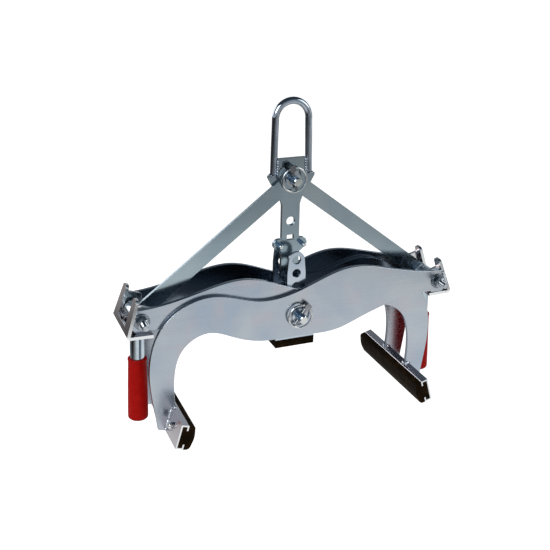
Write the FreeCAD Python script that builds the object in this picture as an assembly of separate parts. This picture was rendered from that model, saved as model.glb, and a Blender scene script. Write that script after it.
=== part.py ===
import FreeCAD, Part

import math
import os

# Lifting tongs, in millimetres. X runs along the tongs, Y through the arm plates, Z up.
# Everything is drawn about the centre pivot, at its open stop, and then lifted so that
# the jaw pads stand on Z = 0.

# Arm plates: two parallel plates an arm, the left arm outside, the right arm inside
ARM_PLATE = 8.0
PLATE_GAP = 0.5
PIN_DIA = 16.0
PIN_HOLE_DIA = 17.0

# Arm outline, from the centre pivot; OUT and IN count from the top of the jaw rail
END_REACH = 300.0
END_RISE = 29.0
END_HEIGHT = 22.0
END_SWELL = 0.45
HUMP_REACH = 104.0
HUMP_RISE = 83.0
CROSS_RISE = 50.0
WAIST_REACH = 80.0
WAIST_RISE = 40.0
SHOULDER_IN = 80.5
SHOULDER_RISE = 61.5
CORNER_OUT = 9.5
CORNER_RISE = 19.0
LEG_OUT = 39.5
LEG_LAP = 8.0
KNEE_DROP = 80.0
ANKLE_SWELL = 1.5
ARCH_IN = 72.5
ARCH_DROP = 9.5
ARCH_BEND = 34.0
ARCH_BEND_SHARE = 0.27
BOSS_REACH = 82.0
BOSS_DROP = 43.0
BOSS_ROUND = 2.0
TAIL_REACH = 130.0
TAIL_DROP = 24.0
TAIL_END_REACH = 182.0
TAIL_END_DROP = 6.0
LOBE_SETBACK = 5.0
LOBE_RISE = 3.0
TOE = 14.0

# Jaw rail: C section, lips inward, leaning with its top towards the load, set back from the handle
JAW_LEN = 245.0
RAIL_SETBACK = 46.5
RAIL_DROP = 149.0
JAW_LEAN = 16.3
RAIL_HEIGHT = 49.0
RAIL_DEPTH = 15.0
RAIL_WALL = 3.0
RAIL_LIP = 10.5
RAIL_BEND = 1.5

# Jaw pad: rubber moulded round its screws, T foot in the rail and a bellied block in front of the lips
PAD_DEPTH = 16.0
PAD_HEAD_DEPTH = 11.5
PAD_TOE_DEPTH = 11.4
PAD_BELLY_RISE = 26.0
PAD_BELLY_RADIUS = 50.0
PAD_FIT = 0.2
PAD_TOP_RADIUS = 5.0
PAD_TOE_RADIUS = 9.0
PAD_SCREW_SPACING = 160.0
PAD_SCREW_DIA = 8.0
PAD_SCREW_HEAD_DIA = 13.0
PAD_SCREW_HEAD = 5.0
PAD_SCREW_COVER = 5.0
PAD_NUT_DIA = 13.0
PAD_NUT = 9.0
PAD_NUT_DOME = 4.0
PAD_NUT_BORE = 4.5
SCREW_CLEARANCE = 0.2

# Handle bracket: folded L plate, its corner outside and below the end bolt
BRACKET_WIDTH = 114.0
BRACKET_TOP_WIDTH = 94.0
BRACKET_PLATE = 6.0
BRACKET_OUT = 32.0
BRACKET_DROP = 28.2
FOOT_LENGTH = 50.0
FOOT_SLOPE = 1.6
UPRIGHT_LENGTH = 74.0
UPRIGHT_LEAN = 18.7
UPRIGHT_SLOT = 54.0
UPRIGHT_SLOT_DEPTH = 57.0
UPRIGHT_TIP_RADIUS = 7.0
BRACKET_BEND = 6.0
CHEEK = 6.0
CHEEK_CHAMFER = 12.0
CHEEK_REACH = 44.0
CHEEK_HEIGHT = 21.0
CHEEK_CLIMB = 55.0

# Handle: tube under the bracket's foot, rubber grip over the tube
HANDLE_OFFSET = 33.0
TUBE_DIA = 27.0
TUBE_WALL = 2.6
TUBE_BARE = 63.5
GRIP_LENGTH = 126.0
GRIP_TOP_DIA = 34.5
GRIP_DIA = 38.5
GRIP_RIM_DIA = 36.0
GRIP_RIM = 5.0
GRIP_TAPER = 2.0
GRIP_END = 5.0
GRIP_ROUND = 5.0
GRIP_FIT = 0.1

# Shoulder bolts at the arm ends: thread thinner than the shank
HEX_ACROSS = 24.0
HEX_HEAD = 10.0
NUT_ACROSS = 19.0
HEX_NUT = 11.0
THREAD_DIA = 12.0
THREAD_HOLE_DIA = 13.0
THREAD_END = 17.0
SHOULDER_BACK = 0.5
WASHER_DIA = 30.0
WASHER = 3.0
BAR_CHAMFER = 1.5

# Ties: flat bar from each end bolt to the top pin, welded to a bush
TIE_WIDTH = 30.0
TIE_PLATE = 6.0
TIE_GAP = 0.3
BUSH_DIA = 34.0
BUSH_BORE = 24.7
BUSH_LENGTH = 48.0
BUSH_SAG = 3.8

# Hanger plate: head, strap, finger lugs; UP and DOWN count from the top pin, RISE from the pivot
TOP_PIN_RISE = 254.0
HANGER_PLATE = 8.0
HEAD_TOP_UP = 38.0
HEAD_SHOULDER = 46.0
HEAD_SHOULDER_UP = 7.0
HEAD_EDGE = 4.0
HEAD_CORNER = 38.0
HEAD_CORNER_DOWN = 12.0
HEAD_NECK_DOWN = 51.0
NECK_HOLLOW = 3.0
STRAP_WIDTH = 36.0
STRAP_END_RISE = 49.0
STRAP_END_RADIUS = 10.0
STRAP_HOLE_DOWN = 83.0
WINDOW_DOWN = 115.0
WINDOW_WIDTH = 14.0
WINDOW_HEIGHT = 10.0
LUG_DOWN = 128.0
LUG_REACH = 34.0
LUG_DIA = 22.0
LUG_ROOT = 18.0
LUG_TURN = -60.0
PEG_DIA = 8.0
PEG_FRONT = 15.5
PEG_CHAMFER = 1.0

# Suspension eye: round bar bent to a U
EYE_BAR_DIA = 13.0
EYE_SPREAD = 69.6
EYE_LEAN = 1.4
EYE_HEIGHT = 141.5

# Round pins with a head at the rear and a linch pin at the front
PIN_HEAD_DIA = 26.0
PIN_HEAD = 8.0
PIN_END = 18.0
LINCH_DIA = 7.0
LINCH_HOLE_DIA = 7.6
LINCH_SEAT = 0.4
LINCH_TIP = 20.4
LINCH_HEAD = 12.0
LINCH_HEAD_FRONT = 5.5
LINCH_HEAD_BACK = 4.5
LINCH_HEAD_ROUND = 3.0
LINCH_POINT = 2.2
RING_DIA = 46.0
RING_WIRE = 4.0
RING_BORE_DIA = 6.6
TOP_LINCH_TURN = 104.0
CENTRE_LINCH_TURN = 55.0

# Depth stop: two uprights on the centre pin, carrier plate and rubber pad
STOP_PLATE = 6.0
STOP_SPACING = 64.0
STOP_WIDTH = 37.0
STOP_TOP_RADIUS = 16.0
STOP_PITCH = 26.25
STOP_HOLES = 5
STOP_DROP = 50.0
CARRIER = 6.0
CARRIER_LENGTH = 80.0
CARRIER_WIDTH = 74.0
STOP_PAD = 16.0
STOP_SCREW_DIA = 8.0
STOP_SCREW_SPACING = 50.0
STOP_SCREW_HEAD_DIA = 14.0
STOP_SCREW_HEAD = 5.0
STOP_SCREW_RECESS = 2.0
STOP_NUT_DIA = 14.0
STOP_NUT = 6.5
SPACER_DIA = 25.0

# Places that follow from the sizes
INNER_FACE = STOP_SPACING / 2 + STOP_PLATE + PLATE_GAP
OUTER_FACE = INNER_FACE + ARM_PLATE + PLATE_GAP
ARM_STACK = OUTER_FACE + ARM_PLATE
TIE_FACE = HANGER_PLATE / 2 + TIE_GAP
TIE_STACK = TIE_FACE + TIE_PLATE + TIE_GAP
BRACKET_REACH = END_REACH + BRACKET_OUT
RAIL_REACH = BRACKET_REACH - HANDLE_OFFSET - RAIL_SETBACK
LEG_INNER = RAIL_REACH - LEG_LAP
ARCH_REACH = RAIL_REACH - ARCH_IN
EYE_FOOT_RISE = TOP_PIN_RISE + HEAD_SHOULDER_UP


def at(x, z):
    """Point of the XZ plane."""
    return FreeCAD.Vector(x, 0, z)


def turned(angle):
    """Unit direction in the XZ plane, angle in degrees from +X towards +Z."""
    return at(math.cos(math.radians(angle)), math.sin(math.radians(angle)))


def line(start, end):
    return Part.LineSegment(start, end).toShape()


def polyline(points):
    """Straight edges through the points, open."""
    return [line(a, b) for a, b in zip(points, points[1:])]


def curve(points):
    """One smooth edge through the points."""
    spline = Part.BSplineCurve()
    spline.interpolate(points)
    return spline.toShape()


def slab(edges, y_from, y_to):
    """Flat plate: a closed outline in the XZ plane, from one Y to another."""
    face = Part.Face(Part.Wire(Part.__sortEdges__(edges)))
    face.translate(FreeCAD.Vector(0, y_from, 0))
    return face.extrude(FreeCAD.Vector(0, y_to - y_from, 0))


def panel(points, y_from, y_to):
    """Flat plate with straight sides."""
    return slab(polyline(points + points[:1]), y_from, y_to)


def rod(centre, dia, y_from, y_to):
    """Round bar along Y."""
    base = FreeCAD.Vector(centre.x, y_from, centre.z)
    return Part.makeCylinder(dia / 2, y_to - y_from, base, FreeCAD.Vector(0, 1, 0))


def sleeve(centre, dia, bore, y_from, y_to):
    """Round tube along Y."""
    return rod(centre, dia, y_from, y_to).cut(rod(centre, bore, y_from, y_to))


def hexagon(centre, across, y_from, y_to):
    """Hexagonal bar along Y."""
    corner = across / math.sqrt(3)
    points = [centre + turned(60 * i) * corner for i in range(6)]
    return panel(points, y_from, y_to)


def both_sides(shape):
    """The shape and its mirror image behind the middle plane."""
    return Part.Compound([shape, shape.mirror(at(0, 0), FreeCAD.Vector(0, 1, 0))])


def round_edges(solid, radius, keep):
    """Fillet the straight edges along Y for which keep(point) is true."""
    def runs_along_y(edge):
        ends = [v.Point for v in edge.Vertexes]
        return len(ends) == 2 and abs(ends[0].x - ends[1].x) + abs(ends[0].z - ends[1].z) < 1e-6
    edges = [e for e in solid.Edges if runs_along_y(e) and keep(e.Vertexes[0].Point)]
    return solid.makeFillet(radius, edges)


def near(place):
    """Test for a point that lies on a place of the XZ plane."""
    return lambda p: math.hypot(p.x - place.x, p.z - place.z) < 1e-3


# Key points of the left arm, whose jaw is on the left and whose end is on the right
PIVOT = at(0, 0)
END = at(END_REACH, END_RISE)
RAIL_TOP = at(-RAIL_REACH, -RAIL_DROP)
JAW_UP = turned(90 - JAW_LEAN)
JAW_IN = turned(-JAW_LEAN)
RAIL_FOOT = RAIL_TOP - JAW_UP * RAIL_HEIGHT
BRACKET_CORNER = at(BRACKET_REACH, END_RISE - BRACKET_DROP)
FOOT_IN = turned(180 + FOOT_SLOPE)
FOOT_UP = turned(90 + FOOT_SLOPE)
UPRIGHT_UP = turned(90 + UPRIGHT_LEAN)
UPRIGHT_IN = turned(180 + UPRIGHT_LEAN)


def jaw_point(up, depth):
    """Point of the jaw's section: height from its foot, depth from its back."""
    return RAIL_FOOT + JAW_UP * up + JAW_IN * depth


def foot_top(x):
    """Point on the upper face of the bracket's foot."""
    face = BRACKET_CORNER + FOOT_UP * BRACKET_PLATE
    return face + FOOT_IN * ((face.x - x) / math.cos(math.radians(FOOT_SLOPE)))


def upright_face(z):
    """Point on the inner face of the bracket's upright."""
    corner = bracket_inner_corner()
    return corner + UPRIGHT_UP * ((z - corner.z) / UPRIGHT_UP.z)


def bracket_inner_corner():
    """Where the upper face of the foot meets the inner face of the upright."""
    foot_face = BRACKET_CORNER + FOOT_UP * BRACKET_PLATE
    upright_face_foot = BRACKET_CORNER + UPRIGHT_IN * BRACKET_PLATE
    gap = upright_face_foot - foot_face
    along = gap.dot(UPRIGHT_IN) / FOOT_IN.dot(UPRIGHT_IN)
    return foot_face + FOOT_IN * along


def arm_top_edge(start):
    """Upper edge from the arm's end over hump, waist and shoulder, down the leg's outside."""
    hump = at(HUMP_REACH, HUMP_RISE)
    toe = RAIL_FOOT - JAW_IN * TOE
    leg_outer = RAIL_REACH + LEG_OUT
    ankle = at((toe.x - leg_outer) / 2, (toe.z - KNEE_DROP) / 2)
    return curve([
        start,
        hump + (start - hump) * END_SWELL,
        hump,
        at(0, CROSS_RISE),
        at(-WAIST_REACH, WAIST_RISE),
        at(SHOULDER_IN - RAIL_REACH, SHOULDER_RISE),
        at(-RAIL_REACH - CORNER_OUT, CORNER_RISE),
        at(-leg_outer, -KNEE_DROP),
        ankle - JAW_IN * ANKLE_SWELL,
        toe,
    ])


def arm_lower_edge(leg_inner, end):
    """Lower edge from the leg's inside through the arch, under the boss, to the arm's end."""
    arch = at(-ARCH_REACH, -ARCH_DROP)
    knee = at(-LEG_INNER, -KNEE_DROP)
    boss_left = at(-BOSS_REACH, BOSS_ROUND - BOSS_DROP)
    boss_right = at(BOSS_REACH, BOSS_ROUND - BOSS_DROP)
    return curve([
        leg_inner,
        knee,
        at(-LEG_INNER + (LEG_INNER - ARCH_REACH) * ARCH_BEND_SHARE, -ARCH_BEND),
        arch,
        (arch + boss_left) * 0.5,
        boss_left,
        at(0, -BOSS_DROP),
        boss_right,
        at(TAIL_REACH, -TAIL_DROP),
        at(TAIL_END_REACH, -TAIL_END_DROP),
        end,
    ])


def arm_outline():
    """Closed outline of one arm plate, jaw on the left."""
    corner = bracket_inner_corner()
    end_top = upright_face(END_RISE + END_HEIGHT)
    lobe_in = foot_top(BRACKET_REACH - FOOT_LENGTH + LOBE_SETBACK)
    lobe_top = lobe_in + at(0, LOBE_RISE)
    flange = jaw_point(RAIL_HEIGHT, (RAIL_REACH - LEG_INNER) / math.cos(math.radians(JAW_LEAN)))
    toe = RAIL_FOOT - JAW_IN * TOE
    edges = [arm_top_edge(end_top)]
    edges += polyline([toe, RAIL_FOOT, RAIL_TOP, flange])
    edges.append(arm_lower_edge(flange, lobe_top))
    edges += polyline([
        lobe_top, lobe_in, corner + FOOT_IN * CHEEK_CHAMFER, corner + UPRIGHT_UP * CHEEK_CHAMFER, end_top,
    ])
    return edges


def arm_plate(y_from):
    """One arm plate with its pivot hole and end hole."""
    plate = slab(arm_outline(), y_from, y_from + ARM_PLATE)
    for centre in (PIVOT, END):
        plate = plate.cut(rod(centre, PIN_HOLE_DIA, y_from, y_from + ARM_PLATE))
    return plate


def jaw_rail():
    """C rail with lips, holes for the pad screws in its back."""
    inner = RAIL_HEIGHT - RAIL_WALL
    mouth = RAIL_HEIGHT - RAIL_LIP
    throat = RAIL_DEPTH - RAIL_WALL
    section = [
        jaw_point(0, 0), jaw_point(RAIL_HEIGHT, 0), jaw_point(RAIL_HEIGHT, RAIL_DEPTH),
        jaw_point(mouth, RAIL_DEPTH), jaw_point(mouth, throat), jaw_point(inner, throat),
        jaw_point(inner, RAIL_WALL), jaw_point(RAIL_WALL, RAIL_WALL), jaw_point(RAIL_WALL, throat),
        jaw_point(RAIL_LIP, throat), jaw_point(RAIL_LIP, RAIL_DEPTH), jaw_point(0, RAIL_DEPTH),
    ]
    rail = panel(section, -JAW_LEN / 2, JAW_LEN / 2)
    for corner in (jaw_point(RAIL_HEIGHT, RAIL_DEPTH), jaw_point(0, RAIL_DEPTH)):
        rail = round_edges(rail, RAIL_BEND, near(corner))
    return rail.cut(pad_screw_bars(PAD_SCREW_DIA + 2 * SCREW_CLEARANCE, 0, RAIL_WALL))


def pad_screw_bars(dia, depth_from, depth_to):
    """Two round bars on the pad screws' axes, between two depths of the jaw's section."""
    bars = []
    for side in (-0.5, 0.5):
        base = jaw_point(RAIL_HEIGHT / 2, depth_from) + FreeCAD.Vector(0, side * PAD_SCREW_SPACING, 0)
        bars.append(Part.makeCylinder(dia / 2, depth_to - depth_from, base, JAW_IN))
    return Part.Compound(bars)


def jaw_pad():
    """Rubber pad with its T foot, bellied face and the rubber's hollows round the screws."""
    foot_low = RAIL_WALL + PAD_FIT
    foot_high = RAIL_HEIGHT - RAIL_WALL - PAD_FIT
    neck_low = RAIL_LIP + PAD_FIT
    neck_high = RAIL_HEIGHT - RAIL_LIP - PAD_FIT
    throat = RAIL_DEPTH - RAIL_WALL - PAD_FIT
    face = RAIL_DEPTH + PAD_DEPTH
    head = jaw_point(RAIL_HEIGHT, RAIL_DEPTH + PAD_HEAD_DEPTH)
    belly = jaw_point(PAD_BELLY_RISE, face)
    toe = jaw_point(0, RAIL_DEPTH + PAD_TOE_DEPTH)
    section = [
        jaw_point(foot_low, RAIL_WALL), jaw_point(foot_high, RAIL_WALL), jaw_point(foot_high, throat),
        jaw_point(neck_high, throat), jaw_point(neck_high, RAIL_DEPTH), jaw_point(RAIL_HEIGHT, RAIL_DEPTH),
        head, belly, toe, jaw_point(0, RAIL_DEPTH),
        jaw_point(neck_low, RAIL_DEPTH), jaw_point(neck_low, throat), jaw_point(foot_low, throat),
    ]
    pad = panel(section, -JAW_LEN / 2, JAW_LEN / 2)
    pad = round_edges(pad, PAD_TOP_RADIUS, near(head))
    pad = round_edges(pad, PAD_TOE_RADIUS, near(toe))
    pad = round_edges(pad, PAD_BELLY_RADIUS, near(belly))
    head_end = face - PAD_SCREW_COVER
    head_seat = head_end - PAD_SCREW_HEAD
    pad = pad.cut(pad_screw_bars(PAD_SCREW_DIA + 2 * SCREW_CLEARANCE, RAIL_WALL, head_seat))
    return pad.cut(pad_screw_bars(PAD_SCREW_HEAD_DIA + 2 * SCREW_CLEARANCE, head_seat, head_end))


def jaw_screws():
    """Pad screws: head inside the rubber, shank through the rail's back."""
    head_end = RAIL_DEPTH + PAD_DEPTH - PAD_SCREW_COVER
    head_seat = head_end - PAD_SCREW_HEAD
    heads = pad_screw_bars(PAD_SCREW_HEAD_DIA, head_seat, head_end)
    shanks = pad_screw_bars(PAD_SCREW_DIA, -PAD_NUT_BORE, head_seat)
    return Part.Compound([s.fuse(h) for s, h in zip(shanks.Solids, heads.Solids)])


def jaw_nuts():
    """Domed nuts on the rail's back."""
    nuts = []
    blanks = pad_screw_bars(PAD_NUT_DIA, -PAD_NUT, 0)
    for blank, bore in zip(blanks.Solids, pad_screw_bars(PAD_SCREW_DIA, -PAD_NUT_BORE, 0).Solids):
        crown = min(blank.Edges, key=lambda e: e.CenterOfMass.dot(JAW_IN))
        nuts.append(blank.makeFillet(PAD_NUT_DOME, [crown]).cut(bore))
    return Part.Compound(nuts)


def handle_bracket():
    """Folded L plate: foot, and an upright that narrows to its top, with an open slot."""
    foot_end = BRACKET_CORNER + FOOT_IN * FOOT_LENGTH
    upright_end = BRACKET_CORNER + UPRIGHT_UP * UPRIGHT_LENGTH
    section = [
        BRACKET_CORNER, foot_end, foot_end + FOOT_UP * BRACKET_PLATE, bracket_inner_corner(),
        upright_end + UPRIGHT_IN * BRACKET_PLATE, upright_end,
    ]
    bracket = panel(section, -BRACKET_WIDTH / 2, BRACKET_WIDTH / 2)
    bracket = round_edges(bracket, BRACKET_BEND, near(BRACKET_CORNER))
    slot_foot = upright_end - UPRIGHT_UP * UPRIGHT_SLOT_DEPTH
    across = UPRIGHT_IN * BRACKET_PLATE
    slot = [slot_foot - across, slot_foot + across * 2, upright_end + across * 2, upright_end - across]
    bracket = bracket.cut(panel(slot, -UPRIGHT_SLOT / 2, UPRIGHT_SLOT / 2))
    bracket = bracket.cut(both_sides(upright_trim()))
    return bracket.makeFillet(UPRIGHT_TIP_RADIUS, upright_tip_edges(bracket))


def upright_tip_edges(bracket):
    """Edges through the plate's thickness at the corners of the upright's two tips."""
    def is_tip(edge):
        ends = [v.Point for v in edge.Vertexes]
        rises = [(p - BRACKET_CORNER).dot(UPRIGHT_UP) for p in ends]
        return abs(ends[0].y - ends[-1].y) < 1e-3 and all(abs(r - UPRIGHT_LENGTH) < 1e-3 for r in rises)
    return [e for e in bracket.Edges if is_tip(e)]


def upright_trim():
    """Wedge outside the sloping front edge of the bracket's upright."""
    low = bracket_inner_corner()
    wide = FreeCAD.Vector(0, -BRACKET_WIDTH / 2, 0)
    narrow = FreeCAD.Vector(0, -BRACKET_TOP_WIDTH / 2, 0)
    rise = UPRIGHT_UP * UPRIGHT_LENGTH
    face = Part.Face(Part.Wire(polyline([low + wide, low + rise + wide, low + rise + narrow, low + wide])))
    face.translate(UPRIGHT_IN * BRACKET_PLATE)
    return face.extrude(UPRIGHT_IN * (-3 * BRACKET_PLATE))


def bracket_cheek(y_outer):
    """Cheek plate against the inside of the arm plate at y = -y_outer."""
    corner = bracket_inner_corner()
    foot_in = corner + FOOT_IN * CHEEK_REACH
    points = [
        corner + FOOT_IN * CHEEK_CHAMFER,
        foot_in,
        at(foot_in.x, END_RISE + CHEEK_HEIGHT),
        corner + UPRIGHT_UP * CHEEK_CLIMB,
        corner + UPRIGHT_UP * CHEEK_CHAMFER,
    ]
    cheek = panel(points, -y_outer, -y_outer + CHEEK)
    return cheek.cut(rod(END, PIN_HOLE_DIA, -y_outer, -y_outer + CHEEK))


def handle_axis(drop):
    """Point on the handle's axis, a distance below the bracket's foot."""
    return BRACKET_CORNER + FOOT_IN * HANDLE_OFFSET - FOOT_UP * drop


def handle_tube():
    """Tube from the foot down to the closed end of the grip."""
    length = TUBE_BARE + GRIP_LENGTH - GRIP_END
    top = handle_axis(0)
    tube = Part.makeCylinder(TUBE_DIA / 2, length, top, FOOT_UP * -1)
    return tube.cut(Part.makeCylinder(TUBE_DIA / 2 - TUBE_WALL, length, top, FOOT_UP * -1))


def handle_grip():
    """Turned grip: rim, body that swells to its rounded closed end."""
    rim = GRIP_RIM_DIA / 2
    neck = GRIP_TOP_DIA / 2
    body = GRIP_DIA / 2
    bore = TUBE_DIA / 2 + GRIP_FIT
    floor = GRIP_LENGTH - GRIP_END

    def place(radius, drop):
        return FreeCAD.Vector(radius, 0, -drop)
    profile = polyline([
        place(bore, 0), place(rim, 0), place(rim, GRIP_RIM), place(neck, GRIP_RIM + GRIP_TAPER),
        place(body, GRIP_LENGTH - GRIP_ROUND),
    ])
    corner = place(body - GRIP_ROUND, GRIP_LENGTH - GRIP_ROUND)
    profile.append(Part.Arc(place(body, GRIP_LENGTH - GRIP_ROUND), corner + turned(-45) * GRIP_ROUND,
                            place(body - GRIP_ROUND, GRIP_LENGTH)).toShape())
    profile += polyline([
        place(body - GRIP_ROUND, GRIP_LENGTH), place(0, GRIP_LENGTH), place(0, floor), place(bore, floor),
        place(bore, 0),
    ])
    grip = Part.Face(Part.Wire(profile)).revolve(place(0, 0), FreeCAD.Vector(0, 0, 1), 360)
    tilt = FreeCAD.Rotation(FreeCAD.Vector(0, 0, 1), FOOT_UP)
    grip.Placement = FreeCAD.Placement(handle_axis(TUBE_BARE), tilt)
    return Part.Compound([grip])


def end_bolt(face):
    """Shoulder bolt across the arm's end, hexagon head at the rear."""
    seat = face + WASHER
    shoulder = SHOULDER_BACK - face
    thread = rod(END, THREAD_DIA, -seat - HEX_NUT - THREAD_END, shoulder)
    thread_rim = min(thread.Edges, key=lambda e: e.CenterOfMass.y)
    thread = thread.makeChamfer(BAR_CHAMFER, [thread_rim])
    shank = rod(END, PIN_DIA, shoulder, seat).fuse(hexagon(END, HEX_ACROSS, seat, seat + HEX_HEAD))
    return shank.fuse(thread)


def end_nut(face):
    """Hexagon nut on the bolt's front end."""
    seat = -face - WASHER
    return hexagon(END, NUT_ACROSS, seat - HEX_NUT, seat).cut(rod(END, THREAD_DIA, seat - HEX_NUT, seat))


def arm_nodes(inner_face):
    """All pieces that move with one arm whose plates start at inner_face from the middle."""
    face = inner_face + ARM_PLATE
    washers = [
        sleeve(END, WASHER_DIA, THREAD_HOLE_DIA, -face - WASHER, -face),
        sleeve(END, WASHER_DIA, PIN_HOLE_DIA, face, face + WASHER),
    ]
    return {
        "{jaw}_arm_front_plate": arm_plate(-face),
        "{jaw}_arm_rear_plate": arm_plate(inner_face),
        "{jaw}_jaw_rail": jaw_rail(),
        "{jaw}_jaw_pad": jaw_pad(),
        "{jaw}_jaw_screws": jaw_screws(),
        "{jaw}_jaw_nuts": jaw_nuts(),
        "{end}_handle_bracket": handle_bracket(),
        "{end}_bracket_cheeks": both_sides(bracket_cheek(inner_face)),
        "{end}_handle_tube": handle_tube(),
        "{end}_handle_grip": handle_grip(),
        "{end}_end_bolt": end_bolt(face),
        "{end}_end_washers": Part.Compound(washers),
        "{end}_end_nut": end_nut(face),
    }


def tie_nodes(y_from):
    """Right-hand tie: flat bar from the end bolt to the top pin, and the bush that hangs on the bolt."""
    top = at(0, TOP_PIN_RISE)
    foot = END - at(0, BUSH_SAG)
    along = (top - foot).normalize()
    side = at(-along.z, along.x) * (TIE_WIDTH / 2)
    corners = [foot - side, top - side, top + side, foot + side]
    edges = [
        line(corners[3], corners[0]),
        line(corners[0], corners[1]),
        Part.Arc(corners[1], top + along * (TIE_WIDTH / 2), corners[2]).toShape(),
        line(corners[2], corners[3]),
    ]
    y_to = y_from + TIE_PLATE
    bar = slab(edges, y_from, y_to)
    bar = bar.cut(rod(foot, BUSH_DIA, y_from, y_to))
    bar = bar.cut(rod(top, PIN_HOLE_DIA, y_from, y_to))
    bush = sleeve(foot, BUSH_DIA, BUSH_BORE, -BUSH_LENGTH / 2, BUSH_LENGTH / 2)
    return {"{end}_tie_bar": bar, "{end}_tie_bush": bush}


def leg_side(z):
    """Where the inner side of the eye's leg is at a height."""
    lean = math.radians(EYE_LEAN)
    return (EYE_SPREAD / 2 - (z - EYE_FOOT_RISE) * math.tan(lean)) - EYE_BAR_DIA / 2 / math.cos(lean)


def lug_centre():
    """Middle of the right-hand lug's round end."""
    return at(LUG_REACH - LUG_DIA / 2, TOP_PIN_RISE - LUG_DOWN)


def hanger_pegs():
    """Round pegs pressed into the lugs, standing out to the front."""
    back = HANGER_PLATE / 2
    peg = rod(lug_centre(), PEG_DIA, -back - PEG_FRONT, back)
    rim = min(peg.Edges, key=lambda e: e.CenterOfMass.y)
    peg = peg.makeChamfer(PEG_CHAMFER, [rim])
    return Part.Compound([peg, peg.mirror(at(0, 0), FreeCAD.Vector(1, 0, 0))])


def hanger_outline():
    """Right half of the hanger's outline, from its top to its foot."""
    strap = STRAP_WIDTH / 2
    inside = leg_side(EYE_FOOT_RISE)
    head_top = TOP_PIN_RISE + HEAD_TOP_UP
    inside_top = leg_side(head_top)
    lug = LUG_DIA / 2
    lug_rise = TOP_PIN_RISE - LUG_DOWN
    lug_axis = lug_centre()
    neck = at(strap, TOP_PIN_RISE - HEAD_NECK_DOWN)
    corner = at(HEAD_CORNER, TOP_PIN_RISE - HEAD_CORNER_DOWN)
    edges = polyline([
        at(0, head_top), at(inside_top, head_top), at(inside, EYE_FOOT_RISE),
        at(HEAD_SHOULDER, EYE_FOOT_RISE), at(HEAD_SHOULDER, EYE_FOOT_RISE - HEAD_EDGE), corner,
    ])
    edges.append(curve([corner, (corner + neck) * 0.5 - at(NECK_HOLLOW, 0), neck]))
    edges.append(line(neck, at(strap, lug_rise + lug)))
    edges.append(line(at(strap, lug_rise + lug), lug_axis + turned(90) * lug))
    lug_end = lug_axis + turned(LUG_TURN) * lug
    edges.append(Part.Arc(lug_axis + turned(90) * lug, lug_axis + turned(0) * lug, lug_end).toShape())
    edges.append(line(lug_end, at(strap, lug_rise - LUG_ROOT)))
    foot = at(strap, STRAP_END_RISE + STRAP_END_RADIUS)
    foot_axis = foot - at(STRAP_END_RADIUS, 0)
    edges.append(line(at(strap, lug_rise - LUG_ROOT), foot))
    edges.append(Part.Arc(foot, foot_axis + turned(-45) * STRAP_END_RADIUS,
                          foot_axis + turned(-90) * STRAP_END_RADIUS).toShape())
    edges.append(line(foot_axis + turned(-90) * STRAP_END_RADIUS, at(0, STRAP_END_RISE)))
    return edges


def hanger_plate():
    """Head, strap and lugs in one plate, with holes for pin, lock and pegs, and a window."""
    half = hanger_outline()
    other_half = [e.mirror(at(0, 0), FreeCAD.Vector(1, 0, 0)) for e in half]
    y_to = HANGER_PLATE / 2
    plate = slab(half + other_half, -y_to, y_to)
    for rise in (TOP_PIN_RISE, TOP_PIN_RISE - STRAP_HOLE_DOWN):
        plate = plate.cut(rod(at(0, rise), PIN_HOLE_DIA, -y_to, y_to))
    peg_hole = rod(lug_centre(), PEG_DIA, -y_to, y_to)
    plate = plate.cut([peg_hole, peg_hole.mirror(at(0, 0), FreeCAD.Vector(1, 0, 0))])
    window = Part.makeBox(WINDOW_WIDTH, HANGER_PLATE, WINDOW_HEIGHT, FreeCAD.Vector(
        -WINDOW_WIDTH / 2, -y_to, TOP_PIN_RISE - WINDOW_DOWN - WINDOW_HEIGHT / 2))
    return plate.cut(window)


def suspension_eye():
    """Round bar bent to a U, its legs on the hanger's shoulders, leaning a little together."""
    bar = EYE_BAR_DIA / 2
    lean = math.radians(EYE_LEAN)
    foot = at(EYE_SPREAD / 2, EYE_FOOT_RISE)
    climb = turned(90 + EYE_LEAN)
    out = turned(EYE_LEAN)
    # the bow's radius from the leg's line, tangent to it, and the rise of the bow's top
    span = EYE_HEIGHT - bar
    bend = (foot.x - span * math.tan(lean)) * math.cos(lean) / (1 - math.sin(lean))
    axis = at(0, EYE_FOOT_RISE + span - bend)
    leg_top = axis + out * bend
    leg = Part.makeCylinder(bar, (leg_top - foot).Length + bar, foot - climb * bar, climb)
    below = Part.makeBox(EYE_SPREAD, EYE_BAR_DIA, EYE_BAR_DIA, FreeCAD.Vector(0, -bar, foot.z - EYE_BAR_DIA))
    leg = leg.cut(below)
    section = Part.Face(Part.Wire(Part.Circle(leg_top, climb, bar).toShape()))
    bow = section.revolve(axis, FreeCAD.Vector(0, -1, 0), 180 - 2 * EYE_LEAN)
    return bow.fuse([leg, leg.mirror(at(0, 0), FreeCAD.Vector(1, 0, 0))]).removeSplitter()


def linch_frame(rise, seat, turn):
    """Centre, direction of the head and Y place of a linch pin through a pin's front end."""
    return at(0, rise), turned(turn), -seat - LINCH_SEAT - LINCH_DIA / 2


def headed_pin(rise, seat, turn):
    """Round pin: head at the rear, cross hole for the linch pin at the front."""
    centre, out, y = linch_frame(rise, seat, turn)
    tip = y - PIN_END
    shank = rod(centre, PIN_DIA, tip, seat)
    rim = min(shank.Edges, key=lambda e: e.CenterOfMass.y)
    shank = shank.makeChamfer(BAR_CHAMFER, [rim])
    pin = shank.fuse(rod(centre, PIN_HEAD_DIA, seat, seat + PIN_HEAD))
    start = centre + FreeCAD.Vector(0, y, 0) - out * PIN_DIA
    return pin.cut(Part.makeCylinder(LINCH_HOLE_DIA / 2, PIN_DIA * 2, start, out))


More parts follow.
